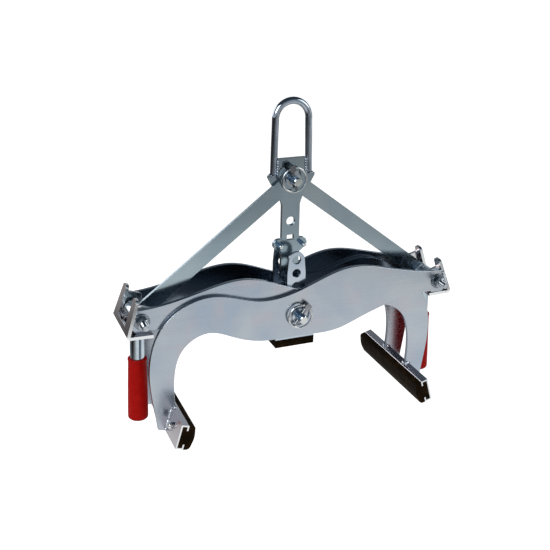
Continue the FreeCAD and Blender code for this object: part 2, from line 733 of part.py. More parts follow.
def linch_pin(rise, seat, turn):
    """Linch pin: round shank and a flat head, bored for the ring."""
    centre, out, y = linch_frame(rise, seat, turn)
    tip = centre + FreeCAD.Vector(0, y, 0) - out * LINCH_TIP
    shank = Part.makeCylinder(LINCH_DIA / 2, LINCH_TIP + RING_DIA / 2 - LINCH_HEAD / 2, tip, out)
    rim = min(shank.Edges, key=lambda e: e.CenterOfMass.dot(out))
    shank = shank.makeChamfer(LINCH_POINT, [rim])
    along = at(-out.z, out.x)
    root = centre + out * (RING_DIA / 2)
    corners = [root + out * (LINCH_HEAD * a) + along * (LINCH_HEAD * b)
               for a, b in ((-0.5, -0.5), (0.5, -0.5), (0.5, 0.5), (-0.5, 0.5))]
    head = panel(corners, y - LINCH_HEAD_FRONT, y + LINCH_HEAD_BACK)
    head = round_edges(head, LINCH_HEAD_ROUND, lambda p: True)
    bore_from = root + FreeCAD.Vector(0, y, 0) - along * LINCH_HEAD
    bore = Part.makeCylinder(RING_BORE_DIA / 2, LINCH_HEAD * 2, bore_from, along)
    return shank.fuse(head).cut(bore)


def linch_ring(rise, seat, turn):
    """Spring ring through the linch pin's head, closed round the pin and the linch pin's tip."""
    centre, out, y = linch_frame(rise, seat, turn)
    middle = centre + FreeCAD.Vector(0, y, 0)
    return Part.makeTorus(RING_DIA / 2, RING_WIRE / 2, middle, FreeCAD.Vector(0, 1, 0))


def pin_washer(rise, seat):
    """Washer under the linch pin, and its twin under the pin's head."""
    return both_sides(sleeve(at(0, rise), WASHER_DIA, PIN_HOLE_DIA, -seat, -seat + WASHER))


def stop_plate():
    """Front upright of the depth stop: rounded top, row of holes down to the pivot."""
    top = at(0, STOP_PITCH * (STOP_HOLES - 1))
    half = STOP_WIDTH / 2
    low = at(half, top.z - STOP_PITCH)
    foot = at(half, -STOP_DROP)
    left, right = at(-STOP_TOP_RADIUS, top.z), at(STOP_TOP_RADIUS, top.z)
    edges = polyline([right, low, foot, at(-foot.x, foot.z), at(-low.x, low.z), left])
    edges.append(Part.Arc(left, top + turned(90) * STOP_TOP_RADIUS, right).toShape())
    y_from = -STOP_SPACING / 2 - STOP_PLATE
    plate = slab(edges, y_from, y_from + STOP_PLATE)
    for i in range(STOP_HOLES):
        plate = plate.cut(rod(at(0, STOP_PITCH * i), PIN_HOLE_DIA, y_from, y_from + STOP_PLATE))
    return plate


def stop_block(z_top, height):
    """Block under the uprights, as long and wide as the carrier."""
    return Part.makeBox(CARRIER_LENGTH, CARRIER_WIDTH, height, FreeCAD.Vector(
        -CARRIER_LENGTH / 2, -CARRIER_WIDTH / 2, z_top - height))


def stop_bars(dia, z_from, z_to):
    """Two upright round bars on the depth stop's screw axes."""
    bars = []
    for side in (-0.5, 0.5):
        base = FreeCAD.Vector(side * STOP_SCREW_SPACING, 0, z_from)
        bars.append(Part.makeCylinder(dia / 2, z_to - z_from, base))
    return bars


def depth_stop_nodes():
    """Uprights, carrier, pad and screws of the depth stop."""
    carrier_foot = -STOP_DROP - CARRIER
    pad_foot = carrier_foot - STOP_PAD
    head_seat = pad_foot + STOP_SCREW_RECESS + STOP_SCREW_HEAD
    nut_top = -STOP_DROP + STOP_NUT
    hole = STOP_SCREW_DIA + 2 * SCREW_CLEARANCE
    head_hole = STOP_SCREW_HEAD_DIA + 2 * SCREW_CLEARANCE
    front = stop_plate()
    pad = stop_block(carrier_foot, STOP_PAD).cut(stop_bars(hole, pad_foot, carrier_foot))
    screws = []
    shanks = stop_bars(STOP_SCREW_DIA, head_seat, nut_top)
    heads = stop_bars(STOP_SCREW_HEAD_DIA, head_seat - STOP_SCREW_HEAD, head_seat)
    for shank, head in zip(shanks, heads):
        screws.append(shank.fuse(head))
    nuts = []
    for nut, shank in zip(stop_bars(STOP_NUT_DIA, -STOP_DROP, nut_top), shanks):
        nuts.append(nut.cut(shank))
    return {
        "depth_stop_front_plate": front,
        "depth_stop_rear_plate": front.mirror(at(0, 0), FreeCAD.Vector(0, 1, 0)),
        "depth_stop_carrier": stop_block(-STOP_DROP, CARRIER).cut(stop_bars(hole, carrier_foot, -STOP_DROP)),
        "depth_stop_pad": pad.cut(stop_bars(head_hole, pad_foot, head_seat)),
        "depth_stop_screws": Part.Compound(screws),
        "depth_stop_nuts": Part.Compound(nuts),
    }


def centre_nodes():
    """Pieces on the centre pivot and the top pin, the hanger and its eye."""
    centre_seat = ARM_STACK + TIE_GAP + WASHER
    top_seat = TIE_STACK + WASHER
    spread = STOP_SPACING / 2
    return {
        "centre_pin": headed_pin(0, centre_seat, CENTRE_LINCH_TURN),
        "centre_washers": pin_washer(0, centre_seat),
        "centre_spacer_tube": sleeve(PIVOT, SPACER_DIA, PIN_HOLE_DIA, -spread, spread),
        "centre_linch_pin": linch_pin(0, centre_seat, CENTRE_LINCH_TURN),
        "centre_linch_ring": linch_ring(0, centre_seat, CENTRE_LINCH_TURN),
        "hanger_plate": hanger_plate(),
        "hanger_pegs": hanger_pegs(),
        "suspension_eye": suspension_eye(),
        "top_pin": headed_pin(TOP_PIN_RISE, top_seat, TOP_LINCH_TURN),
        "top_washers": pin_washer(TOP_PIN_RISE, top_seat),
        "top_linch_pin": linch_pin(TOP_PIN_RISE, top_seat, TOP_LINCH_TURN),
        "top_linch_ring": linch_ring(TOP_PIN_RISE, top_seat, TOP_LINCH_TURN),
    }


def named(nodes, jaw, end):
    """The nodes with their sides filled in."""
    return {name.format(jaw=jaw, end=end): shape for name, shape in nodes.items()}


def mirrored(nodes):
    """The nodes mirrored from one end of the tongs to the other."""
    return {name: shape.mirror(at(0, 0), FreeCAD.Vector(1, 0, 0)) for name, shape in nodes.items()}


def build():
    """All nodes of the tongs about the centre pivot."""
    nodes = {}
    nodes.update(named(arm_nodes(OUTER_FACE), "left", "right"))
    nodes.update(named(mirrored(arm_nodes(INNER_FACE)), "right", "left"))
    nodes.update(named(tie_nodes(TIE_FACE), "left", "right"))
    nodes.update(named(mirrored(tie_nodes(-TIE_FACE - TIE_PLATE)), "right", "left"))
    nodes.update(depth_stop_nodes())
    nodes.update(centre_nodes())
    return nodes


def export(nodes):
    """Stand the tongs on their jaw pads and write one file a node."""
    os.makedirs("parts", exist_ok=True)
    lift = -min(shape.BoundBox.ZMin for shape in nodes.values())
    for name, shape in nodes.items():
        shape.translate(FreeCAD.Vector(0, 0, lift))
        shape.exportStep("parts/" + name + ".step")
    print("nodes", len(nodes), "pivot height", round(lift, 3))


export(build())
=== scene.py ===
"""Lifting tongs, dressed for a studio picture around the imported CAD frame.

Lengths are in millimetres and places are counted from the centre pivot, as in the CAD
source: X along the tongs, Y through the arm plates, Z up. Layout turns them into the
frame's metres. The studio's own sizes are in metres.
"""

import logging
import math
from abc import ABC, abstractmethod
from collections.abc import Callable, Iterable, Sequence
from dataclasses import dataclass
from enum import Enum
from functools import cache

import bmesh
import bpy
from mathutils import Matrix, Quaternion, Vector


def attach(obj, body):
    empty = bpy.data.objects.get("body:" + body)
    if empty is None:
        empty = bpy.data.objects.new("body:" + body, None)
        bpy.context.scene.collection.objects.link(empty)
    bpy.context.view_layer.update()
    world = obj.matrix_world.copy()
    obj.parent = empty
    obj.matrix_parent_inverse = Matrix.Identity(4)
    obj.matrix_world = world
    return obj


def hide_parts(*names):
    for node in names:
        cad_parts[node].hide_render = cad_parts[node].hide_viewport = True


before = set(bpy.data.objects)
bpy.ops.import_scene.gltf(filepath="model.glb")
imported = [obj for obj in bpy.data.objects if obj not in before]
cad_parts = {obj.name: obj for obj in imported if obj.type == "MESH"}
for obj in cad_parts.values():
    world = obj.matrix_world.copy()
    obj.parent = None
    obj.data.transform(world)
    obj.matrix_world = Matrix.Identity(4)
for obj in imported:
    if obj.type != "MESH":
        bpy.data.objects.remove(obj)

MM = 0.001
LOG = logging.getLogger("tongs")
UP = Vector((0.0, 0.0, 1.0))
FRONT = Vector((0.0, -1.0, 0.0))
WHITE = "#FFFFFF"

# The stretch of a noise texture that holds most of its values
NOISE_SPAN = {"From Min": 0.3, "From Max": 0.7}

# Copies of CAD nodes: distance in millimetres that merges points, and the angles in degrees up to
# which faces are one flat face and from which an edge is broken
MERGE_DISTANCE = 0.001
FLAT_ANGLE = 0.4
BREAK_ANGLE = 35.0

# Screw threads: depth as a share of the pitch, and rings to a turn
THREAD_DEPTH = 0.55
THREAD_STEPS = 8

# Weld beads: pitch and depth of the ripples as shares of the bead's radius, points to a ripple,
# the least radius, and how far a hand strays from it
RIPPLE_PITCH = 0.85
RIPPLE_DEPTH = 0.3
RIPPLE_STEPS = 5.0
BEAD_LEAST = 0.85
BEAD_STRAY = (0.93, 1.07)

Ring = tuple[float, float] | Callable[[float], tuple[float, float]]
Skin = tuple[bpy.types.NodeSocket, bpy.types.NodeSocket]


class Side(Enum):
    """Side of the centre pivot, as the camera sees it, with its sign along X."""

    LEFT = -1
    RIGHT = 1

    @property
    def word(self) -> str:
        """The side as the CAD nodes write it."""
        return self.name.lower()

    @property
    def other(self) -> "Side":
        """The opposite side."""
        return Side(-self.value)


class Grain(Enum):
    """Direction whose faces take a finish's face colour; the others take its edge colour."""

    NONE = ""
    Y = "Y"


class PinPlace(Enum):
    """The two headed pins."""

    TOP = "top"
    CENTRE = "centre"


def linear(hex_colour: str) -> tuple[float, float, float, float]:
    """Turn an sRGB hex colour into linear RGBA.

    Args:
        hex_colour: Colour as #RRGGBB.

    Returns:
        Linear red, green, blue and an alpha of 1.
    """
    parts = [int(hex_colour[i:i + 2], 16) / 255 for i in (1, 3, 5)]
    red, green, blue = (p / 12.92 if p <= 0.04045 else ((p + 0.055) / 1.055) ** 2.4 for p in parts)
    return red, green, blue, 1.0


def add(tree: bpy.types.NodeTree, kind: str, inputs: dict[str | int, object] | None = None,
        **settings: object) -> bpy.types.Node:
    """Add a node with its settings and links.

    Args:
        tree: Node tree that gets the node.
        kind: The node's type name.
        inputs: For each input, by name or number, its value or what it is linked from: a socket,
            or a node for that node's first output.
        settings: Properties of the node.

    Returns:
        The new node.
    """
    node = tree.nodes.new(kind)
    for name, value in settings.items():
        setattr(node, name, value)
    for key, value in (inputs or {}).items():
        source = value.outputs[0] if isinstance(value, bpy.types.Node) else value
        if isinstance(source, bpy.types.NodeSocket):
            tree.links.new(source, node.inputs[key])
        else:
            node.inputs[key].default_value = source
    return node


def bare_material(name: str) -> bpy.types.Material:
    """Make a material whose node tree is empty.

    Args:
        name: Name of the material.

    Returns:
        The material.
    """
    made = bpy.data.materials.new(name)
    made.use_nodes = True
    made.node_tree.nodes.clear()
    return made


def turned(angle: float) -> Vector:
    """Unit direction in the XZ plane, in degrees from +X towards +Z."""
    return Vector((math.cos(math.radians(angle)), 0.0, math.sin(math.radians(angle))))


@dataclass(frozen=True)
class Layout:
    """Main places of the tongs, in millimetres from the centre pivot."""

    pivot_rise: float = 201.683
    top_pin_rise: float = 254.0
    end_reach: float = 300.0
    end_rise: float = 29.0
    rail_top: tuple[float, float] = (252.5, -149.0)
    rail_height: float = 49.0
    jaw_lean: float = 16.3
    bracket_corner: tuple[float, float] = (332.0, 0.8)
    bracket_plate: float = 6.0
    foot_slope: float = 1.6
    upright_lean: float = 18.7
    handle_offset: float = 33.0
    arm_plate: float = 8.0
    inner_face: tuple[float, float] = (47.0, 38.5)

    def world(self, place: Vector) -> Vector:
        """Place from the pivot, in millimetres, as a place of the frame in metres."""
        return Vector((place.x, place.y, place.z + self.pivot_rise)) * MM

    def origin(self) -> Vector:
        """The frame's own origin, as a place from the pivot."""
        return Vector((0.0, 0.0, -self.pivot_rise))

    def arm_face(self, side: Side) -> float:
        """Distance from the middle plane to the inner face of an arm's plates."""
        return self.inner_face[0] if side is Side.LEFT else self.inner_face[1]

    def jaw(self, side: Side, up: float, depth: float, y: float) -> Vector:
        """Place on a jaw's section.

        Args:
            side: Side the jaw is on.
            up: Height from the rail's foot, along the leaning rail.
            depth: Depth from the rail's back, towards the load.
            y: Place along the rail.

        Returns:
            The place in millimetres.
        """
        along = turned(90 - self.jaw_lean)
        foot = Vector((-self.rail_top[0], 0.0, self.rail_top[1])) - along * self.rail_height
        place = foot + along * up + turned(-self.jaw_lean) * depth
        return Vector((-side.value * place.x, y, place.z))

    def jaw_inward(self, side: Side) -> Vector:
        """Direction from a jaw's back towards the load."""
        inward = turned(-self.jaw_lean)
        return Vector((-side.value * inward.x, 0.0, inward.z))

    def bracket(self, side: Side, lean: float, inward: float, up: float, y: float = 0.0) -> Vector:
        """Place on a handle bracket, counted from its outer corner.

        Args:
            side: Side the bracket is on.
            lean: Lean of the wall that is followed, in degrees.
            inward: Distance square to the upright wall, towards the pivot.
            up: Distance square to the foot wall.
            y: Place along the fold.

        Returns:
            The place in millimetres.
        """
        corner = Vector((self.bracket_corner[0], 0.0, self.bracket_corner[1]))
        place = corner + turned(180 + lean) * inward + turned(90 + lean) * up
        return Vector((side.value * place.x, y, place.z))

    def handle(self, side: Side, up: float = 0.0) -> Vector:
        """Place on a handle's axis, up from the underside of the bracket's foot."""
        return self.bracket(side, self.foot_slope, self.handle_offset, up)

    def handle_axis(self, side: Side) -> Vector:
        """Upward direction of a handle."""
        upward = turned(90 + self.foot_slope)
        return Vector((side.value * upward.x, 0.0, upward.z))

    def end(self, side: Side, y: float = 0.0) -> Vector:
        """Place on an end bolt's axis."""
        return Vector((side.value * self.end_reach, y, self.end_rise))


LAYOUT = Layout()


@dataclass(frozen=True)
class Finish(ABC):
    """A surface finish: its material's name and the record's slot that it belongs to."""

    name: str
    slot: str

    def material(self) -> bpy.types.Material:
        """Make the finish's material, or find it where it is made already.

        Returns:
            The material.
        """
        made = bpy.data.materials.get(self.name)
        if made is None:
            made = bare_material(self.name)
            add(made.node_tree, "ShaderNodeOutputMaterial", {"Surface": self.mix(made.node_tree)})
        return made

    @abstractmethod
    def mix(self, tree: bpy.types.NodeTree) -> bpy.types.Node:
        """Build the finish's nodes and return its shader."""


@dataclass(frozen=True)
class PlatedSteel(Finish):
    """Rolled steel with a bright electroplated zinc skin and a clear blue passivate.

    The eye sees a bluish silver with long soft rolling streaks, cloudy patches where the
    bath left the skin thicker, fine pickling grit, and cut edges with a tone of their own.
    The grit is drawn coarser than it really is, so that it shows.
    """

    face: str
    cloud: str
    edge: str = ""
    roughness: float = 0.15
    streak_long: float = 160.0
    streak_wide: float = 2.4
    streak_dull: tuple[float, float] = (-0.02, 0.04)
    streak_rise: float = 0.6
    cloud_wide: float = 90.0
    grit_wide: float = 0.9
    grit_rise: float = 0.1
    tint: str = ""
    tint_patch: float = 1.7
    grain: Grain = Grain.NONE
    edge_dull: float = 0.1
    # Painted shade between the plates: its colour, its roughness, its reach from the middle plane and the
    # heights over which it fades in
    inner: str = ""
    inner_roughness: float = 0.15
    inner_reach: tuple[float, float] = (-10.0, -30.0)
    inner_fade: tuple[float, float] = (-90.0, -10.0)

    def mix(self, tree: bpy.types.NodeTree) -> bpy.types.Node:
        """Build streaks, clouds, grit, cut edges and the painted shade between the plates.

        Args:
            tree: The material's node tree.

        Returns:
            The Principled shader.
        """
        coord = add(tree, "ShaderNodeTexCoord").outputs
        place, normal = coord["Object"], coord["Normal"]
        stretch = [1 / (size * MM) for size in (self.streak_long, self.streak_wide, self.streak_wide)]
        rolled = add(tree, "ShaderNodeMapping", {"Vector": place, "Scale": stretch})
        streaks = add(tree, "ShaderNodeTexNoise", {"Vector": rolled, "Scale": 1.0, "Detail": 3.0})
        least, most = (self.roughness + part for part in self.streak_dull)
        rough = add(tree, "ShaderNodeMapRange", {
            "Value": streaks, **NOISE_SPAN, "To Min": least, "To Max": most})
        skin = self.clouded(tree, place), rough.outputs[0]
        if self.grain is not Grain.NONE:
            skin = self.cut_edges(tree, normal, skin)
        # painted shade on the faces between the plates
        if self.inner:
            skin = self.inner_faces(tree, place, normal, skin)
        grit = add(tree, "ShaderNodeTexNoise", {
            "Vector": place, "Scale": 1 / (self.grit_wide * MM), "Detail": 2.0})
        uneven = add(tree, "ShaderNodeMath", {0: streaks, 1: self.streak_rise, 2: grit},
                     operation="MULTIPLY_ADD")
        bump = add(tree, "ShaderNodeBump", {
            "Height": uneven, "Strength": 0.018, "Distance": self.grit_rise * MM})
        return add(tree, "ShaderNodeBsdfPrincipled", {
            "Base Color": skin[0], "Metallic": 1.0, "Roughness": skin[1], "Normal": bump})

    def clouded(self, tree: bpy.types.NodeTree, place: bpy.types.NodeSocket) -> bpy.types.NodeSocket:
        """Face colour with its clouds, and the passivate's faint rose bloom in patches of its own.

        Args:
            tree: The material's node tree.
            place: Socket of the Object coordinates.

        Returns:
            The socket of the colour.
        """
        clouds = add(tree, "ShaderNodeTexNoise", {
            "Vector": place, "Scale": 1 / (self.cloud_wide * MM), "Detail": 2.0, "Distortion": 0.3})
        patch = add(tree, "ShaderNodeMapRange", {"Value": clouds, **NOISE_SPAN})
        colour = add(tree, "ShaderNodeMix", {0: patch, 6: linear(self.face), 7: linear(self.cloud)},
                     data_type="RGBA").outputs[2]
        if not self.tint:
            return colour
        bloom = add(tree, "ShaderNodeTexNoise", {
            "Vector": place, "Scale": self.tint_patch / (self.cloud_wide * MM), "Detail": 1.0,
            "Distortion": 0.6})
        rosy = add(tree, "ShaderNodeMapRange", {
            "Value": bloom, "From Min": 0.48, "From Max": 0.72, "To Max": 0.4})
        return add(tree, "ShaderNodeMix", {0: rosy, 6: colour, 7: linear(self.tint)},
                   data_type="RGBA").outputs[2]

    def cut_edges(self, tree: bpy.types.NodeTree, normal: bpy.types.NodeSocket, skin: Skin) -> Skin:
        """Give the faces that look away from the grain's direction the edge colour.

        Args:
            tree: The material's node tree.
            normal: Socket of the normal.
            skin: Sockets of colour and roughness.

        Returns:
            The sockets of the new colour and roughness.
        """
        parts = add(tree, "ShaderNodeSeparateXYZ", {0: normal}).outputs
        lean = add(tree, "ShaderNodeMath", {0: parts[self.grain.value]}, operation="ABSOLUTE")
        cut = add(tree, "ShaderNodeMapRange", {"Value": lean, "From Min": 0.75, "From Max": 0.45})
        return self.covered(tree, skin, cut, self.edge, self.edge_dull)

    def inner_faces(self, tree: bpy.types.NodeTree, place: bpy.types.NodeSocket,
                    normal: bpy.types.NodeSocket, skin: Skin) -> Skin:
        """Paint shade on the faces that look at the middle plane, above the legs: a darker colour that
        stands in for the shade between the plates, and a smoother skin.

        Args:
            tree: The material's node tree.
            place: Socket of the Object coordinates.
            normal: Socket of the normal.
            skin: Sockets of colour and roughness.

        Returns:
            The sockets of the new colour and roughness.
        """
        spot = add(tree, "ShaderNodeSeparateXYZ", {0: place}).outputs
        parts = add(tree, "ShaderNodeSeparateXYZ", {0: normal}).outputs
        facing = add(tree, "ShaderNodeMath", {0: spot["Y"], 1: parts["Y"]}, operation="MULTIPLY")
        near, far = (reach * MM for reach in self.inner_reach)
        within = add(tree, "ShaderNodeMapRange", {"Value": facing, "From Min": near, "From Max": far})
        low, high = ((LAYOUT.pivot_rise + rise) * MM for rise in self.inner_fade)
        above = add(tree, "ShaderNodeMapRange", {
            "Value": spot["Z"], "From Min": low, "From Max": high}, interpolation_type="SMOOTHSTEP")
        # share of the painted shade: faces looking at the middle plane, above the legs
        gap_shade = add(tree, "ShaderNodeMath", {0: within, 1: above}, operation="MULTIPLY")
        return self.covered(tree, skin, gap_shade, self.inner, self.inner_roughness - self.roughness)

    def covered(self, tree: bpy.types.NodeTree, skin: Skin, mask: bpy.types.Node, colour: str,
                dull: float) -> Skin:
        """Lay another colour and roughness over a skin.

        Args:
            tree: The material's node tree.
            skin: Sockets of colour and roughness.
            mask: Node of the share that is covered.
            colour: Colour of the cover.
            dull: Roughness that the cover adds.

        Returns:
            The sockets of the new colour and roughness.
        """
        mixed = add(tree, "ShaderNodeMix", {0: mask, 6: skin[0], 7: linear(colour)}, data_type="RGBA")
        rough = add(tree, "ShaderNodeMath", {0: mask, 1: dull, 2: skin[1]}, operation="MULTIPLY_ADD")
        return mixed.outputs[2], rough.outputs[0]


@dataclass(frozen=True)
class MouldedPolymer(Finish):
    """Moulded vinyl or rubber: one deep colour, a fine mould grain and paler handling scuffs.

    The mould grain is drawn coarser than it really is, so that it shows.
    """

    colour: str
    scuff: str
    roughness: float = 0.5
    grain_wide: float = 0.8
    grain_dull: tuple[float, float] = (-0.06, 0.1)
    grain_rise: float = 0.4
    scuff_wide: float = 14.0
    gloss: float = 0.08

    def mix(self, tree: bpy.types.NodeTree) -> bpy.types.Node:
        """Build grain and scuffs.

        Args:
            tree: The material's node tree.

        Returns:
            The Principled shader.
        """
        place = add(tree, "ShaderNodeTexCoord").outputs["Object"]
        grain = add(tree, "ShaderNodeTexNoise", {
            "Vector": place, "Scale": 1 / (self.grain_wide * MM), "Detail": 3.0, "Roughness": 0.6})
        scuffs = add(tree, "ShaderNodeTexNoise", {
            "Vector": place, "Scale": 1 / (self.scuff_wide * MM), "Detail": 5.0, "Roughness": 0.65})
        worn = add(tree, "ShaderNodeMapRange", {"Value": scuffs, "From Min": 0.46, "From Max": 0.74})
        tint = add(tree, "ShaderNodeMix", {0: worn, 6: linear(self.colour), 7: linear(self.scuff)},
                   data_type="RGBA")
        least, most = (self.roughness + part for part in self.grain_dull)
        rough = add(tree, "ShaderNodeMapRange", {
            "Value": grain, **NOISE_SPAN, "To Min": least, "To Max": most})
        bump = add(tree, "ShaderNodeBump", {
            "Height": grain, "Strength": 0.35, "Distance": self.grain_rise * MM})
        return add(tree, "ShaderNodeBsdfPrincipled", {
            "Base Color": tint.outputs[2], "Roughness": rough, "Normal": bump, "IOR": 1.5,
            "Specular IOR Level": self.gloss})


# Laser-cut arm plates: the widest bright faces, smooth darker edges, and painted shade on the faces between
# the plates
ARM_ZINC = PlatedSteel("zinc plated arm plate", "zinc_arm", "#BBC2C8", "#A8B5C3", "#808A94", 0.24,
                       tint="#BEB6BE", grain=Grain.Y, edge_dull=-0.1, inner="#7E8995")
# Folded rails, rolled lengthwise: bright sawn ends, a warm purple tint on the walls
RAIL_ZINC = PlatedSteel("zinc plated folded rail", "zinc_arm", "#EEF1F1", "#DDE1E3", "#CDC8CE", 0.1,
                        streak_long=2.4, streak_wide=160.0, grit_wide=4.0, grain=Grain.Y, edge_dull=0.05)
# Folded brackets: bright sawn edges, a warm tint on the walls
BRACKET_ZINC = PlatedSteel("zinc plated folded plate", "zinc_bracket", "#F2F4F4", "#E2E6E8", "#D6CFD2",
                           0.15, grain=Grain.Y, edge_dull=0.0)
# Hanger and ties: the same bath, a duller, bluer skin; the depth stop is the palest of the flat bars
SATIN_ZINC = PlatedSteel("satin zinc bar", "zinc_satin", "#A8B6BD", "#94A7B1", "#7F8B93", grain=Grain.Y)
STOP_ZINC = PlatedSteel("pale zinc bar", "zinc_satin", "#C6D0DB", "#B0BECC", "#7F8B93", 0.16,
                        grain=Grain.Y)
# Round stock: turned bushes and drawn tube, bar and wire, with small clouds
BUSH_ZINC = PlatedSteel("bright turned bush", "zinc_satin", "#D0D8DE", "#B4C0CA", roughness=0.07,
                        cloud_wide=12.0)
TUBE_ZINC = PlatedSteel("zinc plated tube", "zinc_tube", "#CAD6DE", "#B4C3CE", roughness=0.14,
                        cloud_wide=30.0)
BAR_STEEL = PlatedSteel("bright zinc plated bar", "bright_bar", "#B4BCC6", "#97A3B0", roughness=0.08,
                        cloud_wide=25.0)
SPRING_WIRE = PlatedSteel("bright spring wire", "spring_wire", "#D3D5D4", "#B4B7B8", roughness=0.12,
                          cloud_wide=8.0)
# Turned pins and pegs: pale faced ends, mirror-bright sides whose blue is the passivate's tint with a
# painted blue reflection over it
PIN_ZINC = PlatedSteel("bright turned pin", "zinc_fastener", "#D6DAD8", "#C2C8C8", "#9DBCDA", 0.06,
                       cloud_wide=12.0, grain=Grain.Y)
# Small hardware, plated in the barrel: bright bolts and cap nuts, dull linch pins, and end washers
# darkened all over by painted shade that stands in for the shadow round their nuts
FASTENER_ZINC = PlatedSteel("zinc plated fastener", "zinc_fastener", "#C6CCD1", "#8C949B",
                            roughness=0.07, cloud_wide=12.0, streak_long=20.0)
CAP_ZINC = PlatedSteel("bright cap nut", "zinc_fastener", "#F0F1F0", "#DADDDE", roughness=0.2,
                       cloud_wide=8.0)
# Painted shade: the whole washer is darker, standing in for the shadow between washer, nut and plate
SHADED_WASHER_ZINC = PlatedSteel("dull end washer", "zinc_fastener", "#8A9198", "#70777E", roughness=0.1,
                          cloud_wide=12.0)
LINCH_ZINC = PlatedSteel("dull linch pin", "zinc_fastener", "#8E9296", "#75797D", roughness=0.12,
                         cloud_wide=8.0)
# Weld metal under the plating: rippled, brightest on the arms
WELD_METAL = PlatedSteel("plated weld bead", "zinc_satin", "#9FA8B1", "#7D8791", roughness=0.2,
                         cloud_wide=6.0)
ARM_WELD = PlatedSteel("bright arm weld bead", "zinc_arm", "#EEF1F4", "#B4BCC6", roughness=0.18,
                       cloud_wide=6.0)
# Dipped vinyl grips: satin red; moulded rubber pads: brownish black, nearly without gloss
GRIP_VINYL = MouldedPolymer("moulded red vinyl", "red_grip", "#A00703", "#AE1009")
PAD_RUBBER = MouldedPolymer("moulded black rubber", "black_rubber", "#140D04", "#2C1E10", roughness=0.6,
                            grain_wide=1.1, scuff_wide=18.0, gloss=0.025)

FINISHES: dict[str, Finish] = {f.slot: f for f in (
    ARM_ZINC, SATIN_ZINC, BRACKET_ZINC, TUBE_ZINC, FASTENER_ZINC, BAR_STEEL, SPRING_WIRE, GRIP_VINYL,
    PAD_RUBBER)}


def piece_from(name: str, data: bpy.types.ID) -> bpy.types.Object:
    """Put a mesh, lamp or camera into the scene as an object at the origin.

    Args:
        name: Name of the object.
        data: The mesh, or the lamp's or camera's data.

    Returns:
        The object.
    """
    piece = bpy.data.objects.new(name, data)
    bpy.context.scene.collection.objects.link(piece)
    return piece


def fit(piece: bpy.types.Object, body: str, finish: Finish, *nodes: str) -> None:
    """Give a finished piece its material, its body and the CAD nodes it stands for.

    Args:
        piece: The piece, in place.
        body: CAD body that it rides on.
        finish: Its finish.
        nodes: CAD nodes that it replaces.
    """
    piece.data.materials.clear()
    piece.data.materials.append(finish.material())
    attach(piece, body)
    if nodes:
        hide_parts(*nodes)
    LOG.info("%s rides on %s in %s", piece.name, body, finish.name)


def dress(body: str, finish: Finish, width: float, *nodes: str) -> None:
    """Replace CAD nodes by softened copies in a finish.

    Args:
        body: CAD body that they ride on.
        finish: Their finish.
        width: Width of their broken edges.
        nodes: The CAD nodes.
    """
    for node in nodes:
        fit(softened(node, width), body, finish, node)


def plain_mesh(piece: bpy.types.Object, name: str) -> bpy.types.Object:
    """Turn an object with modifiers into a plain mesh object.

    Args:
        piece: The object with its modifiers; it is removed.
        name: Name of the plain one.

    Returns:
        The plain mesh object, at the origin.
    """
    graph = bpy.context.evaluated_depsgraph_get()
    mesh = bpy.data.meshes.new_from_object(piece.evaluated_get(graph))
    mesh.name = name
    bpy.data.objects.remove(piece)
    return piece_from(name, mesh)


def mesh_from(name: str, shell: bmesh.types.BMesh) -> bpy.types.Mesh:
    """Turn a bmesh into a mesh that is shaded smooth.

    Args:
        name: Name of the mesh.
        shell: The bmesh; it is freed.

    Returns:
        The mesh.
    """
    mesh = bpy.data.meshes.new(name)
    shell.to_mesh(mesh)
    shell.free()
    mesh.shade_smooth()
    return mesh


def softened(node: str, width: float) -> bpy.types.Object:
    """Copy a CAD node with its loose triangles merged and its edges broken by a small bevel.

    Args:
        node: CAD node to copy.
        width: Width of the bevel.

    Returns:
        The copy, a plain mesh whose flat faces are shaded flat up to the bevels.
    """
    name = f"{node}_dressed"
    shell = bmesh.new()
    shell.from_mesh(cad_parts[node].data)
    bmesh.ops.remove_doubles(shell, verts=shell.verts, dist=MERGE_DISTANCE * MM)
    bmesh.ops.dissolve_limit(shell, angle_limit=math.radians(FLAT_ANGLE), verts=shell.verts,
                             edges=shell.edges)
    sharp = piece_from(f"{node}_sharp", mesh_from(name, shell))
    bevel = sharp.modifiers.new("broken edges", "BEVEL")
    bevel.width = width * MM
    bevel.segments = 2
    bevel.limit_method = "ANGLE"
    bevel.angle_limit = math.radians(BREAK_ANGLE)
    even = sharp.modifiers.new("flat faces", "WEIGHTED_NORMAL")
    even.mode = "FACE_AREA"
    even.weight = 100
    return plain_mesh(sharp, name)


